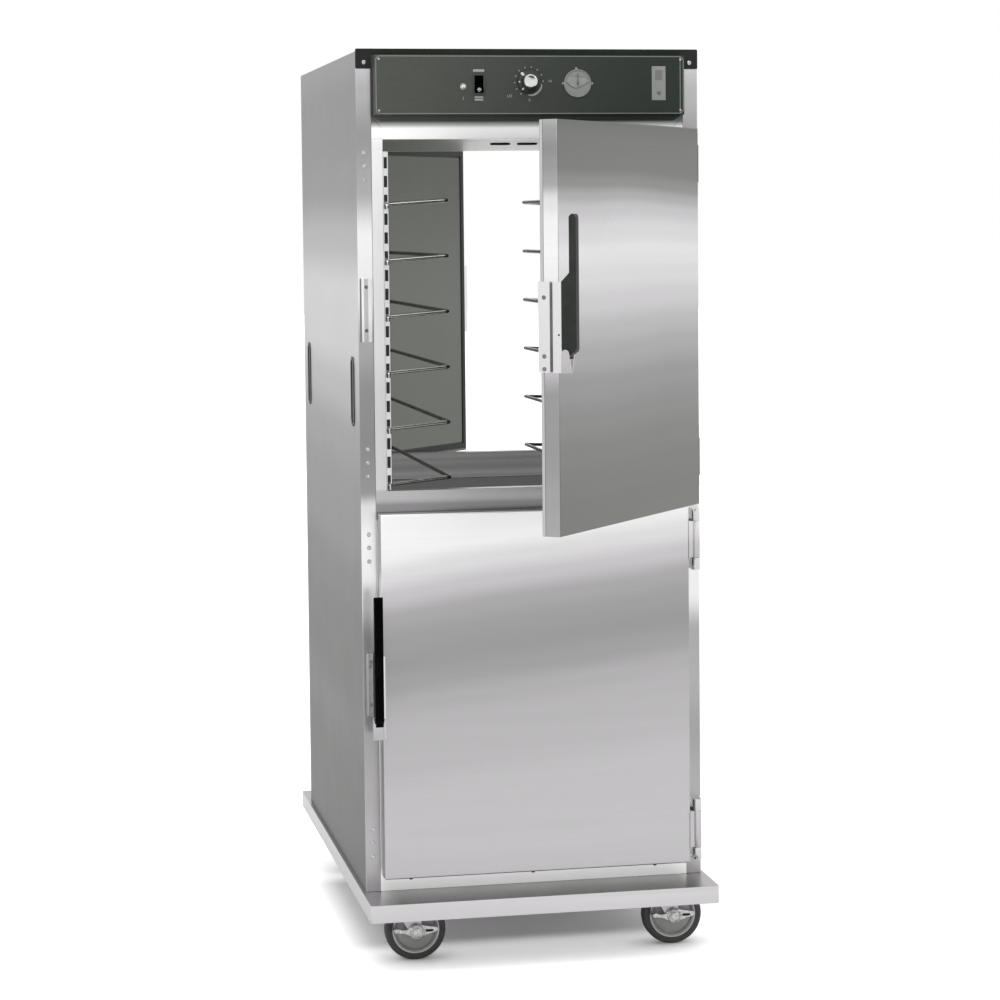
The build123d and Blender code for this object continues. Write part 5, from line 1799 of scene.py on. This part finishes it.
@dataclass
class Hardware(Assembly):
    """Hinge brackets, strikes and the cord gland."""

    strike_low: Span = (1287.0, 523.0)
    strike_height: float = 129.0 * MM
    strike_outline: tuple[Span, ...] = ((-352, 0), (-352, 1.5), (-346.5, 6.6), (-345, 7.0),
                                        (-336, 5.7), (-328, 5.2), (-328, 0))
    strike_side: float = 349.4 * MM
    screw_radius: float = 3.9 * MM
    screw_rise: float = 1.2 * MM
    screw_rises: Span = (111.5, 23.4)
    screw_x: float = -339.9 * MM
    screw_out: float = 6.1 * MM
    ramp_slope: float = 7.0

    def keepers(self) -> None:
        """Strikes with one smooth ramp from the bevelled outer side to the door."""
        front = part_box("front_frame")[0][1]
        outline = [Vector((x, front - out, 0)) for x, out in mm(self.strike_outline)]
        pattern = Bench.slab("keeper", outline, (0, 0, self.strike_height))
        places = both_ends([at(0, 0, low * MM) for low in self.strike_low])
        piece = Bench.copies("latch_keepers", pattern, places)
        Bench.soften(piece, 0.5 * MM)
        # The keepers' bands, glow and darker outer side are painted light and shade.
        finish = banded("steel_keepers", "latch_strikes", STRIKE_BANDS, STRIKE_PAINTED_GLOW,
                        roughness=0.26, ends=STRIKE_SIDE_TONES, ends_from=self.strike_side,
                        ends_across=True)
        self.keep(piece, finish, "cabinet", ["latch_strikes"])

    def strike_screws(self) -> None:
        """Two ring-headed screws in each strike's ramp."""
        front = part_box("front_frame")[0][1]
        pattern = head("strike_screw", PLUG_HEAD, self.screw_radius, self.screw_rise)
        slope = Matrix.Rotation(radians(self.ramp_slope), 4, "Z")
        places = both_ends([at(self.screw_x, front - self.screw_out, (low + rise) * MM) @ slope
                            for low in self.strike_low for rise in self.screw_rises])
        self.keep(Bench.copies("strike_screws", pattern, places), RING_SCREW, "cabinet")

    def build(self) -> None:
        """Builds and dresses the hardware."""
        self.finish("hinge_brackets", CHROME, 0.5)
        self.keepers()
        self.strike_screws()
        self.finish("cord_gland", BLACK, 0.6)
        self.report()


# ------------------------------------------------------------------ casters
@dataclass
class Caster(Assembly):
    """A swivel caster: fork, tyre, wheel disc, hub nut and, at the front, a brake lever."""

    end: str = "front"
    side: str = "left"
    lever_outline: tuple[Span, ...] = (
        (-44, 9.4), (-48, 7.6), (-49.4, 4), (-47.8, 0.6), (-42, -1.4), (-24, -3.6), (-16, -8),
        (-5, -12.6), (3, -13), (11, -10.8), (26, -5.6), (41, -1.8), (44.4, 1.6), (43.8, 6),
        (40, 8), (27, 10), (16, 12.4), (9, 14.4), (0, 15.6), (-9, 14), (-14.6, 9.6), (-18, 5),
        (-32, 4.5), (-39, 8.4))
    lever_slot: tuple[Span, ...] = ((17.5, 4.2), (33, 3.6), (36, 1.4), (31, -1.0), (18, -1.4))
    lever_bosses: float = 5.6 * MM
    pad_at: Point = (-43.0, 0.0, 4.0)

    def __post_init__(self) -> None:
        """Reads the wheel's middle."""
        self.name = f"caster_{self.end}_{self.side}"
        low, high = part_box(f"{self.name}_tyre")
        self.hub = (Vector(low) + Vector(high)) / 2

    def tyre(self) -> None:
        """Tyre with rounded shoulders and a moulding line round the tread."""
        profile = [(47.5, -14.0), (50.0, -14.8), (56.0, -15.6), (60.2, -15.0), (62.4, -12.6),
                   (63.3, -8.0), (63.5, -0.6), (63.1, 0.0), (63.5, 0.6), (63.3, 8.0),
                   (62.4, 12.6), (60.2, 15.0), (56.0, 15.6), (50.0, 14.8), (47.5, 14.0)]
        piece = Bench.lathe(f"{self.name}_tread", mm(profile), self.hub, Facing.FRONT, 96,
                            ring=True, angle=40.0)
        self.keep(piece, TYRE, f"{self.name}_wheel", [f"{self.name}_tyre"])

    def disc(self) -> None:
        """Moulded wheel with a slightly domed disc, a ring groove and a hub."""
        side = [(13.0, 16.2), (14.5, 15.0), (15.0, 11.2), (22.0, 11.4), (34.0, 10.6), (39.0, 9.4),
                (40.2, 8.0), (41.6, 8.0), (43.0, 12.2), (45.0, 13.4), (47.4, 13.4)]
        half = [(6.05, 18.7), (12.0, 18.7), *side]
        profile = half + [(r, -h) for r, h in reversed(half)]
        piece = Bench.lathe(f"{self.name}_disc", mm(profile), self.hub, Facing.FRONT, 72,
                            ring=True)
        self.keep(piece, WHEEL, f"{self.name}_wheel", [f"{self.name}_wheel_core"])

    def ring(self) -> None:
        """Thin bright ring where the disc meets the tyre."""
        profile = [(46.6, 13.0), (46.6, 14.4), (48.0, 14.9), (49.2, 14.7), (49.2, 13.0)]
        for way in (Facing.FRONT, Facing.REAR):
            piece = Bench.lathe(f"{self.name}_ring_{way.name.lower()}", mm(profile), self.hub,
                                way, 72, ring=True)
            self.keep(piece, RING, f"{self.name}_wheel")

    def brake(self) -> None:
        """Pressed brake lever: two arms, an arch over the hub nut and a slot in the long arm."""
        low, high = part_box(f"{self.name}_brake_lever")
        front = low[1] + self.lever_bosses
        outline = [self.hub + Vector((x * MM, 0, z * MM)) for x, z in self.lever_outline]
        body = Bench.slab("lever", [Vector((v.x, high[1], v.z)) for v in outline],
                          (0, front - high[1], 0))
        Bench.soften(body, 2.0 * MM, 3)
        place = (self.hub.x, front, self.hub.z)
        arch = [(11.6, -1.0), (11.6, 2.4), (12.6, 3.6), (14.0, 3.6), (15.4, 2.0), (15.8, -1.0)]
        ring = Bench.lathe("arch", mm(arch), place, Facing.FRONT, 48, ring=True)
        bolt = [(9.4, -1.0), (9.4, 4.4), (8.2, 5.4), (5.2, 5.5), (4.6, 5.5), (0.02, 5.3)]
        nut = Bench.lathe("nut", mm(bolt), place, Facing.FRONT, 6)
        tip = self.hub + Vector(self.pad_at) * MM
        boss = [(5.6, -1.0), (5.6, 4.2), (4.2, 5.5), (0.02, 5.6)]
        pad = Bench.lathe("pad", mm(boss), (tip.x, front, tip.z), Facing.FRONT, 28)
        piece = Bench.joined(f"{self.name}_brake_arm", [body, ring, nut, pad])
        self.keep(piece, BRAKE, f"{self.name}_brake", [f"{self.name}_brake_lever"])
        # The slot is a thin dark slab: painted shade.
        slot = [Vector((self.hub.x + x * MM, front + 0.3 * MM, self.hub.z + z * MM))
                for x, z in self.lever_slot]
        self.keep(Bench.slab(f"{self.name}_brake_slot", slot, (0, -0.6 * MM, 0)), DARK,
                  f"{self.name}_brake")

    def build(self) -> None:
        """Builds and dresses the caster."""
        self.finish(f"{self.name}_fork", ZINC, 1.0)
        self.tyre()
        self.disc()
        self.ring()
        if self.end == "front":
            self.brake()
        self.report()


def main() -> None:
    """Builds the looks round the construction and reports each sub-assembly."""
    logging.basicConfig(level=logging.INFO, format="%(name)s: %(message)s")
    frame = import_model()
    nodes = frame["nodes"]
    joints = {joint["name"]: joint for joint in frame["joints"]}
    for node in nodes.values():
        SCREW.dress(node)
    Studio().build()
    Body(nodes).build()
    for level in ("upper", "lower"):
        for end in ("front", "rear"):
            Door(nodes, level=level, end=end, joints=joints).build()
    Rack(nodes).build()
    Controls(nodes).build()
    AirSystem(nodes).build()
    Hardware(nodes).build()
    ZINC.dress(nodes["caster_plates"])
    for end in ("front", "rear"):
        for side in ("left", "right"):
            Caster(nodes, end=end, side=side).build()
    bpy.ops.object.select_all(action="DESELECT")


if __name__ == "__main__":
    main()
